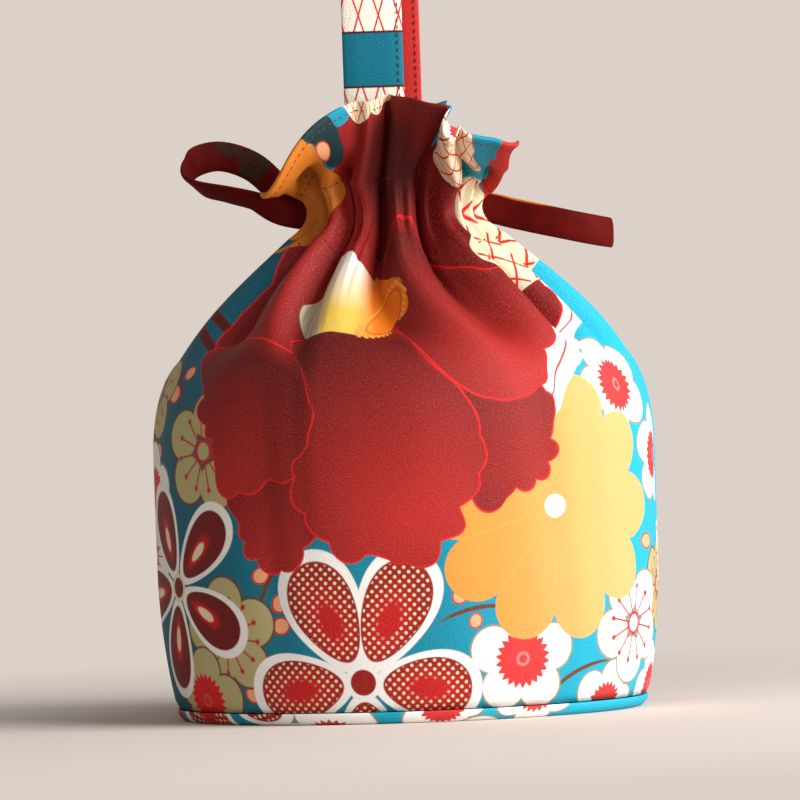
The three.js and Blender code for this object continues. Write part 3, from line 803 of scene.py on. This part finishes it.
# %% Colours of the print
TEAL = rgb(0.03, 0.52, 0.62)
# A shaded and a lit copy of the teal: painted shade and painted light on the ground
SHADED_TEAL = rgb(0.02, 0.33, 0.40)
LIT_TEAL = rgb(0.10, 0.66, 0.77)
# A very dark teal for painted shade in a recessed valley
VALLEY_SHADE_TEAL = rgb(0.04, 0.19, 0.21)
# The peony's red in painted shade, also the dark red of the twigs, and a lit copy with a pinkish painted
# sheen
PEONY_DARK_SHADE = rgb(0.36, 0.028, 0.018)
PEONY_LIT = rgb(0.72, 0.15, 0.13)
WINE = rgb(0.42, 0.05, 0.035)
LINE_RED = rgb(0.82, 0.09, 0.10)
CORAL = rgb(0.80, 0.20, 0.20)
CREAM = rgb(0.90, 0.84, 0.70)
WHITE = rgb(0.94, 0.93, 0.91)
KHAKI = rgb(0.70, 0.66, 0.46)
PEACH = rgb(0.93, 0.66, 0.48)
YELLOW = rgb(0.86, 0.57, 0.24)
ORANGE = rgb(0.74, 0.40, 0.06)
AMBER = rgb(0.84, 0.43, 0.05)
LEMON = rgb(0.86, 0.72, 0.30)
BROWN = rgb(0.40, 0.22, 0.15)
GREY_GREEN = rgb(0.55, 0.53, 0.42)
MAROON = rgb(0.25, 0.05, 0.06)
PLUM = rgb(0.57, 0.10, 0.065)

# %% [markdown]
# A motif starts as a distance to an edge, negative inside and positive outside, which can be filled or
# drawn as a line. A round flower folds the angle round its centre, so that one half petal serves for all
# of them. A freer shape, such as a peony's petal, is a curve of the radius over the angle.

# %% Distances to simple shapes
def polar(local, petals):
    """Distance from the centre, the angle, and the place in a half petal: along it and across it."""
    x, y = local.parts()
    far = local.length()
    angle = x.math("ARCTAN2", y, x)
    half = angle.fold(math.pi / petals)
    return far, angle, far * half.math("COSINE", half), far * half.math("SINE", half)


def oval(along, across, middle, half_length, half_width):
    """Rough distance to an oval's edge, negative inside."""
    scaled = {0: (along - middle) / half_length, 1: across / half_width}
    return (along.node("ShaderNodeCombineXYZ", None, scaled).length() - 1.0) * half_width


def nearest(cloth, places):
    """Coordinates from the nearest of several centres, in units of its size: one drawing serves all."""
    local = best = None
    for x, y, size, turn in places:
        here = cloth.placed((x, y), turn, (size, size))
        far = here.length()
        if best is None:
            local, best = here, far
            continue
        closer = far.math("LESS_THAN", far, best)
        local = local.node("ShaderNodeMix", {"data_type": "VECTOR"}, {0: closer, 4: local, 5: here}, 1)
        best = best.least(far)
    return local


def outline(cloth, points):
    """Rough distance to a rounded line through points round a middle, negative inside, and the angle."""
    points = np.array(points, float)
    middle = points.mean(axis=0)
    arms = points - middle
    turns = np.arctan2(arms[:, 1], arms[:, 0]) / (2 * math.pi) + 0.5
    reach = np.linalg.norm(arms, axis=1)
    local = cloth.placed(middle)
    x, y = local.parts()
    angle = x.math("ARCTAN2", y, x)
    curve = angle.node("ShaderNodeFloatCurve", None, {"Value": angle * (0.5 / math.pi) + 0.5})
    mapping = curve.socket.node.mapping
    knots = mapping.curves[0].points
    start = float(np.interp(0.0, turns, reach, period=1.0)) / reach.max()
    knots[0].location = (0.0, start)
    knots[1].location = (1.0, start)
    for turn, far in zip(turns, reach / reach.max()):
        knots.new(turn, far)
    mapping.update()
    return local.length() - curve * reach.max(), angle


# %% Blossoms, petals and nets
def blossom(under, local, petal, line, heart, fringed):
    """A small plum blossom of five round petals, with a fringed heart or with stamens."""
    far, angle, along, across = polar(local, 5)
    edge = oval(along, across, 0.60, 0.40, 0.42)
    under = under.paint(line, edge.under(0.015, 0.03)).paint(petal, edge.under(-0.025, 0.03))
    if fringed:
        rays = angle.fold(math.pi / 22)
        under = under.paint(heart, (far - rays * 0.7).under(0.42, 0.03))
        return under.paint(petal, oval(far, rays, 0.10, 0.03, 0.03).under(0.0, 0.03))
    ray = angle.fold(math.pi / 12) * far
    under = under.paint(heart, ray.under(0.016, 0.02) * far.under(0.60, 0.03))
    under = under.paint(heart, oval(far, ray, 0.62, 0.045, 0.045).under(0.0, 0.03))
    return under.paint(heart, far.under(0.19, 0.03)).paint(petal, far.under(0.14, 0.03))


def peony_petal(under, cloth, points, scallops, outer, painted_highlight):
    """Scalloped away from the flower's heart, in painted shade with a painted highlight round one place, and
    lighter along its bright line.
    """
    edge, angle = outline(cloth, points)
    lobes = angle.fold(math.pi / scallops) * (scallops / math.pi)
    edge = edge + lobes * lobes * outer * 3.0
    x, y, reach, most = painted_highlight
    share = cloth.placed((x, y)).length().under(0.65 * reach, 1.3 * reach) * most
    shade = blend(PEONY_DARK_SHADE, PEONY_LIT, share.most(edge.under(-5, -10) * 0.35))
    return under.paint(LINE_RED, edge.under(0.0)).paint(shade, edge.under(-0.9))


def leaf(x, y, turn, length, width):
    """Distance to the edge of a petal that starts at the centre and is widest beyond its middle."""
    turn = math.radians(turn)
    along = x * math.cos(turn) + y * math.sin(turn)
    across = y * math.cos(turn) - x * math.sin(turn)
    taper = along * (0.62 / length) + 0.52
    return oval(along, across / taper, 0.54 * length, 0.46 * length, 0.5 * width), along, across


def net(cloth, width, height, line):
    """1 on the lines of a net of long diamonds."""
    x, y = cloth.parts()
    across, along = x / width, y / height
    mesh = (across + along).fold(0.5).least((across - along).fold(0.5))
    return mesh.under(line / width, 0.3 / width)


def tell_print(title):
    print(title, "drawn,", len(printed.node_tree.nodes), "nodes so far")


# %% [markdown]
# The ground is teal, with painted shade at the left and painted light at the right, where the light comes
# from. Twigs, buds and plum blossoms are scattered over it. Drawing each of them alone would take many
# more nodes. Here every place on the cloth looks for the nearest centre first, and one blossom is drawn
# round whichever it finds.

# %% The print: ground, twigs and small blossoms
printed = new_material("flower_print", Specular_IOR_Level=0.17)
cloth = coordinates(printed)
u, v = cloth.parts()
# Painted shade at the left of the ground and painted light at its right, where the light comes from
colour = blend(blend(TEAL, SHADED_TEAL, u.under(-55, 110)), LIT_TEAL, u.under(60, -110))

for centre, turn in (((-112, 161), -14), ((-112, 152), -24)):
    x, y = cloth.placed(centre, turn).parts()
    colour = colour.paint(PEONY_DARK_SHADE, oval(x, y, 0, 17, 2.1).under(0.0))
    colour = colour.paint(MAROON, y.fold(1.4).under(0.5) * oval(x, y, 0, 16, 1.9).under(0.0))

twigs = (((26, 40), 9, 15), ((-112, 133), -50, 13), ((70, 12), 25, 22), ((-58, 52), 60, 12))
for centre, turn, reach in twigs:
    x, y = cloth.placed(centre, turn).parts()
    colour = colour.paint(BROWN, oval(x, y + x * x * 0.012, 0, reach, 0.9).under(0.0))

# Place, size and turn of each bud and blossom
buds = [(-107, 136, 3.6, 20), (-114, 127, 4.6, 0), (-61, 55, 4.0, 30), (-53, 44, 4.2, 60),
        (-53, 35, 4.2, 10), (-69, 8, 4.6, 0), (20, 45, 3.6, 40), (26, 35, 3.2, 70), (116, 62, 4.0, 0),
        (-126, 104, 4.0, 0)]
bud = oval(*nearest(cloth, buds).parts(), 0, 1.0, 0.85)
colour = colour.paint(LINE_RED, bud.under(0.0, 0.1)).paint(PEACH, bud.under(-0.16, 0.1))

khaki_stars = nearest(cloth, [(-88, 104, 25, 10), (-79, 31, 24, 22), (-136, 128, 22, 20), (134, 44, 20, 0)])
colour = blossom(colour, khaki_stars, KHAKI, BROWN, PEONY_LIT, False)
khaki_hearts = nearest(cloth, [(-97, 5, 22, 8), (-140, 168, 20, 0)])
colour = blossom(colour, khaki_hearts, KHAKI, BROWN, LINE_RED, True)
white_hearts = nearest(cloth, [(46, 19, 23, 18), (90, -2, 19, 0), (101, 125, 22, 40), (80, 147, 14, 0),
                               (131, 96, 21, 12), (-134, 88, 20, 12), (131, 4, 19, 40)])
colour = blossom(colour, white_hearts, WHITE, GREY_GREEN, CORAL, True)
white_stars = nearest(cloth, [(105, 30, 24, 50), (-136, 62, 20, 0)])
colour = blossom(colour, white_stars, WHITE, GREY_GREEN, LINE_RED, False)
tell_print("ground and blossoms")

# %% [markdown]
# Three large flowers lie over them near the base: a wine-red one with a pale drop in each petal, a
# chrysanthemum with a white eye, and a plum flower with dotted petals. The first two repeat one petal. The
# last one lies with two petals up, two to the sides and one under the seam, so only its halves repeat.

# %% The print: the wine-red flower and the chrysanthemum
far, _, along, across = polar(cloth.placed((-109, 50), 43), 5)
taper = along * (0.62 / 45) + 0.52
edge = oval(along, across / taper, 24.3, 20.7, 13.5)
drop = oval(along, across * (1.6 - along / 40), 21, 6.5, 2.6)
colour = colour.paint(WHITE, edge.under(0.0)).paint(WINE, edge.under(-2.5))
colour = colour.paint(LINE_RED, drop.under(0.6, 2.0)).paint(CREAM, drop.under(-0.6))
colour = colour.paint(CREAM, far.under(5.6)).paint(WINE, far.under(4.0))

far, _, along, across = polar(cloth.placed((61.2, 78.4), -2), 10)
flower = oval(along, across, 40.8, 13.4, 13.0).least(far - 39.0)
groove = (far * (math.pi / 10) - across).under(0.5, 0.8) * far.under(41, 6) * (1 - far.under(14, 8))
gold = blend(YELLOW, rgb(0.90, 0.67, 0.42), u.under(66, -60))
colour = colour.paint(gold, flower.under(0.0))
colour = colour.paint(rgb(0.85, 0.70, 0.34), groove * 0.25)
colour = colour.paint(WHITE, far.under(4.6))

# %% The print: the plum flower
centred = cloth.placed((-20, 12))
x, y = centred.parts()
far = centred.length()
mirrored = x.math("ABSOLUTE", x)
leaves = [leaf(mirrored, y, turn, length, width) for turn, length, width in
          ((64.4, 57, 36), (-6, 49, 35), (-90, 46, 34))]
edge = leaves[0][0].least(leaves[1][0]).least(leaves[2][0])
glow = [oval(along, across, 27, 10, 5.5) for _, along, across in leaves]
glow = glow[0].least(glow[1]).least(glow[2])
a, b = cloth.placed((0, 0), 45).parts()
dots = oval(a.fold(1.3), b.fold(1.3), 0, 0.66, 0.66).under(0.0, 0.4)
plum_red = blend(PLUM, LINE_RED, glow.under(2.0, 7.0) * 0.6)
colour = colour.paint(WHITE, edge.under(0.0)).paint(plum_red, edge.under(-3.3))
colour = colour.paint(CREAM, dots * edge.under(-4.0) * (1 - glow.under(-1.0, 2.0)))
colour = colour.paint(WHITE, far.under(7.4)).paint(PLUM, far.under(5.2))

tell_print("large flowers")

# %% [markdown]
# The peony fills the front. Ovals would be quick, but its petals overlap in an uneven ring, so each has
# an outline of its own, with scallops away from the flower's heart. A bright line runs round every petal.
# Its red goes from painted shade to a pinkish painted highlight round one place, where the light's sheen
# falls, and it is a little lighter near its edge, as in the print. They are painted from the back to the
# front.

# %% The print: outlines of the peony's petals
hood = [(-104, 148), (-107, 165), (-109, 180), (-114, 194), (-118, 206), (-104, 222), (-85, 228), (-66, 232),
        (-53, 240), (-64, 260), (-30, 270), (0, 272), (40, 270), (62, 264), (72, 246), (95, 228), (94, 204),
        (88, 182), (80, 158), (50, 130), (0, 118), (-50, 130), (-80, 150)]
upper_right = [(9, 168), (11, 158), (13, 147), (17, 135), (28, 124), (38, 120), (48, 121), (61, 125),
               (68, 137), (81, 149), (96, 157), (103, 166), (105, 178), (92, 184), (76, 186), (58, 206),
               (42, 214), (22, 200)]
lower_right = [(18, 134), (24, 80), (30, 77), (37, 78), (41, 82), (48, 84), (56, 87), (61, 93), (64, 101),
               (62.5, 109), (64, 117), (62, 126), (44, 132)]
lower_left = [(-76, 86), (-75, 80), (-70.5, 73), (-70, 67), (-64, 59), (-56, 55), (-50, 54), (-42, 60),
              (-36, 70), (-40, 92), (-58, 98)]
left_petal = [(-104, 147), (-100, 137), (-93, 129), (-94, 120), (-88, 112), (-83, 104), (-82.5, 95),
              (-79, 87), (-72, 84.5), (-64, 86), (-57, 90), (-48, 90), (-36, 108), (-40, 140), (-54, 148),
              (-80, 153)]
main_petal = [(-52, 152), (-44, 139), (-39, 124), (-37, 115), (-40, 106), (-46, 97), (-47, 88), (-44, 78),
              (-36.5, 69.5), (-30, 62), (-21, 58), (-12, 61), (-2, 56), (10, 57.5), (16.5, 66), (23, 71),
              (24, 79), (31, 89), (33, 98), (32, 108), (28, 120), (17, 135), (13, 147), (10, 158),
              (-20, 164)]
# The frill's deep hollow, which is darkened below as painted shade
shaded_hollow = [(-35, 224), (-35, 250), (-24, 258), (0, 260), (38, 259), (52, 250), (58, 236), (62, 222), (40, 212),
          (0, 208)]

# %% The print: peony
# Outline, number of scallops, and the painted highlight: its centre, its reach and how bright it gets
petals = (
    (hood, 14, (-40, 205, 130, 0.5)),
    (lower_left, 8, (-60, 58, 40, 0.7)),
    (lower_right, 9, (56, 92, 45, 0.6)),
    (upper_right, 11, (60, 130, 55, 0.85)),
    (left_petal, 11, (-80, 86, 46, 0.8)),
    (main_petal, 16, (0, 75, 58, 1.0)))
outer = cloth.placed((-10, 168)).length().under(72, -40)

# A white band with one red line follows the upper right petal
edge, _ = outline(cloth, upper_right)
band = edge.under(11.0) * u.under(60, -2) * v.under(177)
colour = colour.paint(WHITE, band).paint(CORAL, (edge - 4.2).math("ABSOLUTE", edge - 4.2).under(0.5) * band)
for points, scallops, painted_highlight in petals:
    colour = peony_petal(colour, cloth, points, scallops, outer, painted_highlight)
# Painted shade: the deep hollow in the middle of the frill is darkened, as its folds lie in shadow
heart, _ = outline(cloth, shaded_hollow)
colour = colour.paint(rgb(0.24, 0.016, 0.010), heart.under(-6.0, 14.0) * 0.8)
tell_print("peony")

# %% [markdown]
# The peony's trumpet looks out of the folds: ribbed and pale at the left, golden at the right, with beads
# round its lip. Higher up, the pattern's other fields reach over the frill, in orange, teal, red and
# lattice. They could be cloths of their own in a patchwork, but here they are one print.

# %% The print: the flower's trumpet
trumpet, _ = outline(cloth, [(-53, 172), (-50, 160), (-46, 156), (-38, 153), (-30, 154), (-18, 153),
                             (-10, 152.6), (-2, 155), (10, 162), (26, 167), (31, 173), (32, 179), (22, 186),
                             (10, 190.6), (0, 192), (-10, 190), (-22, 193), (-30, 197), (-37, 197),
                             (-42, 190), (-48, 181)])
ribs = u.fold(1.6).under(0.5, 0.5) * u.under(-36, 6)
pale = blend(WHITE, KHAKI, u.under(-38, 5) * 0.7)
pale = blend(pale, LEMON, v.under(180, 28) * u.under(-38, -5))
colour = colour.paint(blend(pale, AMBER, u.under(-14, -18)), trumpet.under(0.0))
colour = colour.paint(GREY_GREEN, ribs * trumpet.under(-1) * 0.5)
x, y = cloth.placed((8, 167), 27).parts()
lip = oval(x, y, 0, 27.5, 7.4)
colour = colour.paint(PLUM, lip.under(-1.0, 0.5) * (1 - lip.under(-1.6, 0.5)) * 0.5)
colour = colour.paint(YELLOW, oval(lip, x.fold(1.8), 0, 0.85, 1.25).under(0.0) * trumpet.under(1.0))

# %% The print: fields near the rim
red_net = net(cloth, 7.5, 13.0, 0.42)
fields = (
    [(-150, 194), (-122, 195), (-117, 203), (-106, 209), (-88, 210), (-67, 213), (-58, 217), (-54, 226),
     (-57, 233), (-72, 241), (-84, 252), (-91, 266), (-150, 268)],
    [(-90, 268), (-84, 254), (-72, 243), (-60, 237), (-53, 236), (-52, 243), (-58, 252), (-66, 262),
     (-68, 268)],
    [(-68, 270), (-65, 261), (-56, 256), (-50, 259), (-54, 270)],
    [(-58, 274), (-50, 259), (-38, 254), (-28, 259), (-10, 260), (14, 261), (24, 274)],
    # The right lattice starts at u 79: the strip left of it, where the lattice lies in shade, keeps the
    # peony's red as painted shade
    [(79, 184), (83, 181), (97, 177), (105, 178), (122, 185), (136, 188), (142, 222), (125, 223),
     (106, 227), (98, 225), (93, 213), (85, 207), (79, 201)],
    [(70, 228), (80, 225), (95, 229), (103, 237), (102, 252), (97, 270), (72, 270), (69, 244)],
    [(101, 254), (103, 240), (105, 228), (121, 228), (123, 250), (126, 272), (96, 272)],
    [(121, 226), (123, 250), (126, 272), (152, 272), (152, 226)])
orange_field, valley_shade_field, teal_field, rim_net, side_net, flute_net, flap_teal, flap_red = (
    outline(cloth, points)[0] for points in fields)
colour = colour.paint(blend(ORANGE, YELLOW, cloth.noise(0.06) * 0.4), orange_field.under(0.0))
# Painted shade: a recessed valley at the left of the rim is painted in a very dark teal
colour = colour.paint(VALLEY_SHADE_TEAL, valley_shade_field.under(0.0)).paint(TEAL, teal_field.under(0.0))
berry = oval(*cloth.placed((-74, 247.5), -30).parts(), 0, 11.5, 4.6)
colour = colour.paint(CORAL, berry.under(0.0)).paint(PEACH, berry.under(-0.7))
lattice = rim_net.least(side_net).least(flute_net)
colour = colour.paint(CREAM, lattice.under(0.0)).paint(LINE_RED, lattice.under(-0.6) * red_net)
colour = colour.paint(TEAL, flap_teal.under(0.0)).paint(PEONY_LIT, flap_red.under(0.0))

# Painted shade: the facing behind the middle of the frill shows where a tight fold bares its edge, so it is
# painted as dark as the frill's shaded hollow
colour = colour.paint(PEONY_DARK_SHADE, v.under(264.5, -1.0) * u.under(62) * u.under(-36, -1.0))
tell_print("trumpet and fields")

# %% [markdown]
# Crepe cotton isn't smooth: its twisted threads make a pebbled grain of about a millimetre. Modelled
# threads would take millions of faces. So the grain is a noise that shows as a fine bump, as small
# changes in gloss, and as speckle on the colours: dark specks of its own tone and pale specks that are
# painted glints of light.

# %% Grain of the crepe
grain = cloth.noise(1.9, 1.0)
# Pale specks are painted glints of light on the threads; the dark specks are the grain's own tone
colour = colour.paint(WHITE, grain.under(0.62, -0.16) * 0.05)
colour = colour.paint(MAROON, grain.under(0.38, 0.16) * 0.14)
finish_material(printed, colour, 0.72 - grain * 0.3, grain, 0.00022)
for piece in (front_panel, back_panel, base_panel):
    piece.data.materials.append(printed)

# %% [markdown]
# The strap is cut from another part of the cloth: a lattice in red on cream, with a plain teal block and
# two dark lines low on the front. At the back it is red. The drawstring is of the dark red part, with a
# blossom in painted shade on its left loop and an orange edge on the right one. Both could use the large
# print with a shifted map, but a few formulas of their own are lighter and fall where the photograph has
# them.

# %% Strap's cloth
strap_cloth = new_material("strap_print", Specular_IOR_Level=0.17)
band = coordinates(strap_cloth)
_, along = band.parts()
colour = blend(CREAM, WHITE, band.noise(0.2))
colour = colour.paint(LINE_RED, net(band, 8.0, 26.0, 0.36))
colour = colour.paint(PEONY_LIT, along.under(165, -3))
block = (along - 34.5).math("ABSOLUTE", along - 34.5)
colour = colour.paint(MAROON, block.under(11.3)).paint(rgb(0.02, 0.41, 0.49), block.under(10.4))
grain = band.noise(1.25, 1.0)
colour = colour.paint(MAROON, grain.under(0.38, 0.16) * 0.15)
finish_material(strap_cloth, colour, 0.78 - grain * 0.3, grain, 0.0002)
strap_handle.data.materials.append(strap_cloth)

# %% Drawstring's cloth
cord_cloth = new_material("cord_cloth", Specular_IOR_Level=0.06)
tube = coordinates(cord_cloth)
girth, along = tube.parts()
grain = tube.noise(1.4, 1.0)
colour = blend(rgb(0.25, 0.025, 0.016), rgb(0.38, 0.04, 0.025), tube.noise(0.12))
# The blossom on the left loop is khaki in painted shade, as the loop lies in shadow
shaded_khaki = rgb(0.20, 0.15, 0.10)
flowers = nearest(tube, [(20.5, 69, 7.0, 10), (24, 80, 5.0, 40)])
colour = blossom(colour, flowers, shaded_khaki, MAROON, MAROON, False)
colour = colour.paint(ORANGE, oval(along, girth, 250, 14, 1.1).under(0.0))
# Lighter red specks on the grain are painted glints of light
colour = colour.paint(WINE, grain.under(0.6, -0.2) * 0.12)
finish_material(cord_cloth, colour, 0.8 - grain * 0.3, grain, 0.0002)
drawstring.data.materials.append(cord_cloth)

# %% [markdown]
# Lining and thread are plain cotton. The lining's weave is a grid of crossing threads, drawn as two folded
# coordinates. The thread is too thin for that, and a fine noise gives it the look of twisted fibres.

# %% Lining and thread
lining_cloth = new_material("lining_cloth", Sheen_Weight=0.1, Specular_IOR_Level=0.25)
weave = coordinates(lining_cloth)
warp, weft = weave.parts()
threads = warp.fold(0.3) * 3.3 + weft.fold(0.3) * 3.3
colour = blend(rgb(0.36, 0.06, 0.05), rgb(0.46, 0.10, 0.08), weave.noise(0.08))
colour = colour.paint(MAROON, threads.under(0.6, 0.5) * 0.4)
finish_material(lining_cloth, colour, 0.9 - threads * 0.05, threads, 0.0001)
lining_wall.data.materials.append(lining_cloth)
lining_base.data.materials.append(lining_cloth)

thread = new_material("thread", Sheen_Weight=0.2, Specular_IOR_Level=0.3)
twist = Field(thread.node_tree).node("ShaderNodeTexCoord", out="Object").noise(2500.0, 1.0)
colour = blend(rgb(0.28, 0.06, 0.05), rgb(0.44, 0.11, 0.08), twist)
finish_material(thread, colour, 0.8 - twist * 0.2, twist, 0.0001)
stitches.data.materials.append(thread)
strap_stitches.data.materials.append(thread)

# %% [markdown]
# The floor is plain and pale, and carries the bag's shadow. A curved backdrop could hide where it ends,
# but it would also throw light back. So the floor melts into the backdrop's colour away from the bag, and
# only for rays that look at it: it adds no light.

# %% Floor and backdrop
BACKDROP = rgb(0.86, 0.82, 0.79)
FLOOR_HALF = 6.0
MELT_AT, MELT_WIDTH = 0.29, 0.34


def seen(tree):
    """1 for rays of the camera, a mirror or glass, and 0 for those that only carry light."""
    camera_ray, mirror, glass = (Field(tree).node("ShaderNodeLightPath", out=name) for name in
                                 ("Is Camera Ray", "Is Glossy Ray", "Is Transmission Ray"))
    return (camera_ray + mirror + glass).least(1.0)


def show_backdrop(tree, share, lit, plain, output):
    """Puts a shader of the backdrop's plain colour in place of the lit one where the share is 1."""
    shaders = {0: share, 1: Field(tree, tree.nodes[lit].outputs[0]),
               2: share.node(plain, None, {"Color": BACKDROP})}
    mixed = share.node("ShaderNodeMixShader", None, shaders)
    tree.links.new(mixed.socket, tree.nodes[output].inputs["Surface"])


bm = bmesh.new()
bmesh.ops.create_grid(bm, x_segments=1, y_segments=1, size=FLOOR_HALF)
floor_mesh = bpy.data.meshes.new("floor")
bm.to_mesh(floor_mesh)
bm.free()
floor = bpy.data.objects.new("floor", floor_mesh)
bpy.context.scene.collection.objects.link(floor)
floor_paint = new_material("floor_paint", Base_Color=BACKDROP, Roughness=0.9, Specular_IOR_Level=0.1)
tree = floor_paint.node_tree
away = Field(tree).node("ShaderNodeTexCoord", out="Object").length()
melted = away.under(MELT_AT, -MELT_WIDTH) * seen(tree)
show_backdrop(tree, melted, "Principled BSDF", "ShaderNodeEmission", "Material Output")
floor.data.materials.append(floor_paint)
print("floor", 2 * FLOOR_HALF, "m wide")

# %% [markdown]
# One broad, soft light from the right, a little in front of the bag, gives the photograph's bright ridges
# and dark folds. A sun lamp would draw hard edges, so it is a large area light, with a weak one in front
# to open the shadows. The world adds a little light from all sides and shows the backdrop's colour.

# %% World
world = bpy.data.worlds.new("studio")
bpy.context.scene.world = world
world.use_nodes = True
tree = world.node_tree
tree.nodes["Background"].inputs["Color"].default_value = rgb(0.93, 0.91, 0.89)
tree.nodes["Background"].inputs["Strength"].default_value = 0.26
show_backdrop(tree, seen(tree), "Background", "ShaderNodeBackground", "World Output")
print("world", len(tree.nodes), "nodes")


# %% Lights
def area_light(name, place, aim, size, power):
    lamp = bpy.data.objects.new(name, bpy.data.lights.new(name, "AREA"))
    lamp.data.shape = "DISK"
    lamp.data.size = size
    lamp.data.energy = power
    lamp.location = place
    lamp.rotation_euler = (Vector(aim) - Vector(place)).to_track_quat("-Z", "Y").to_euler()
    bpy.context.scene.collection.objects.link(lamp)
    print(name, power, "W")


area_light("key", (1.25, -0.75, 0.75), (0, 0, 0.13), 1.3, 48)
area_light("front fill", (-0.4, -1.6, 0.7), (0, 0, 0.13), 1.4, 4)
bpy.context.scene.view_settings.view_transform = "Standard"
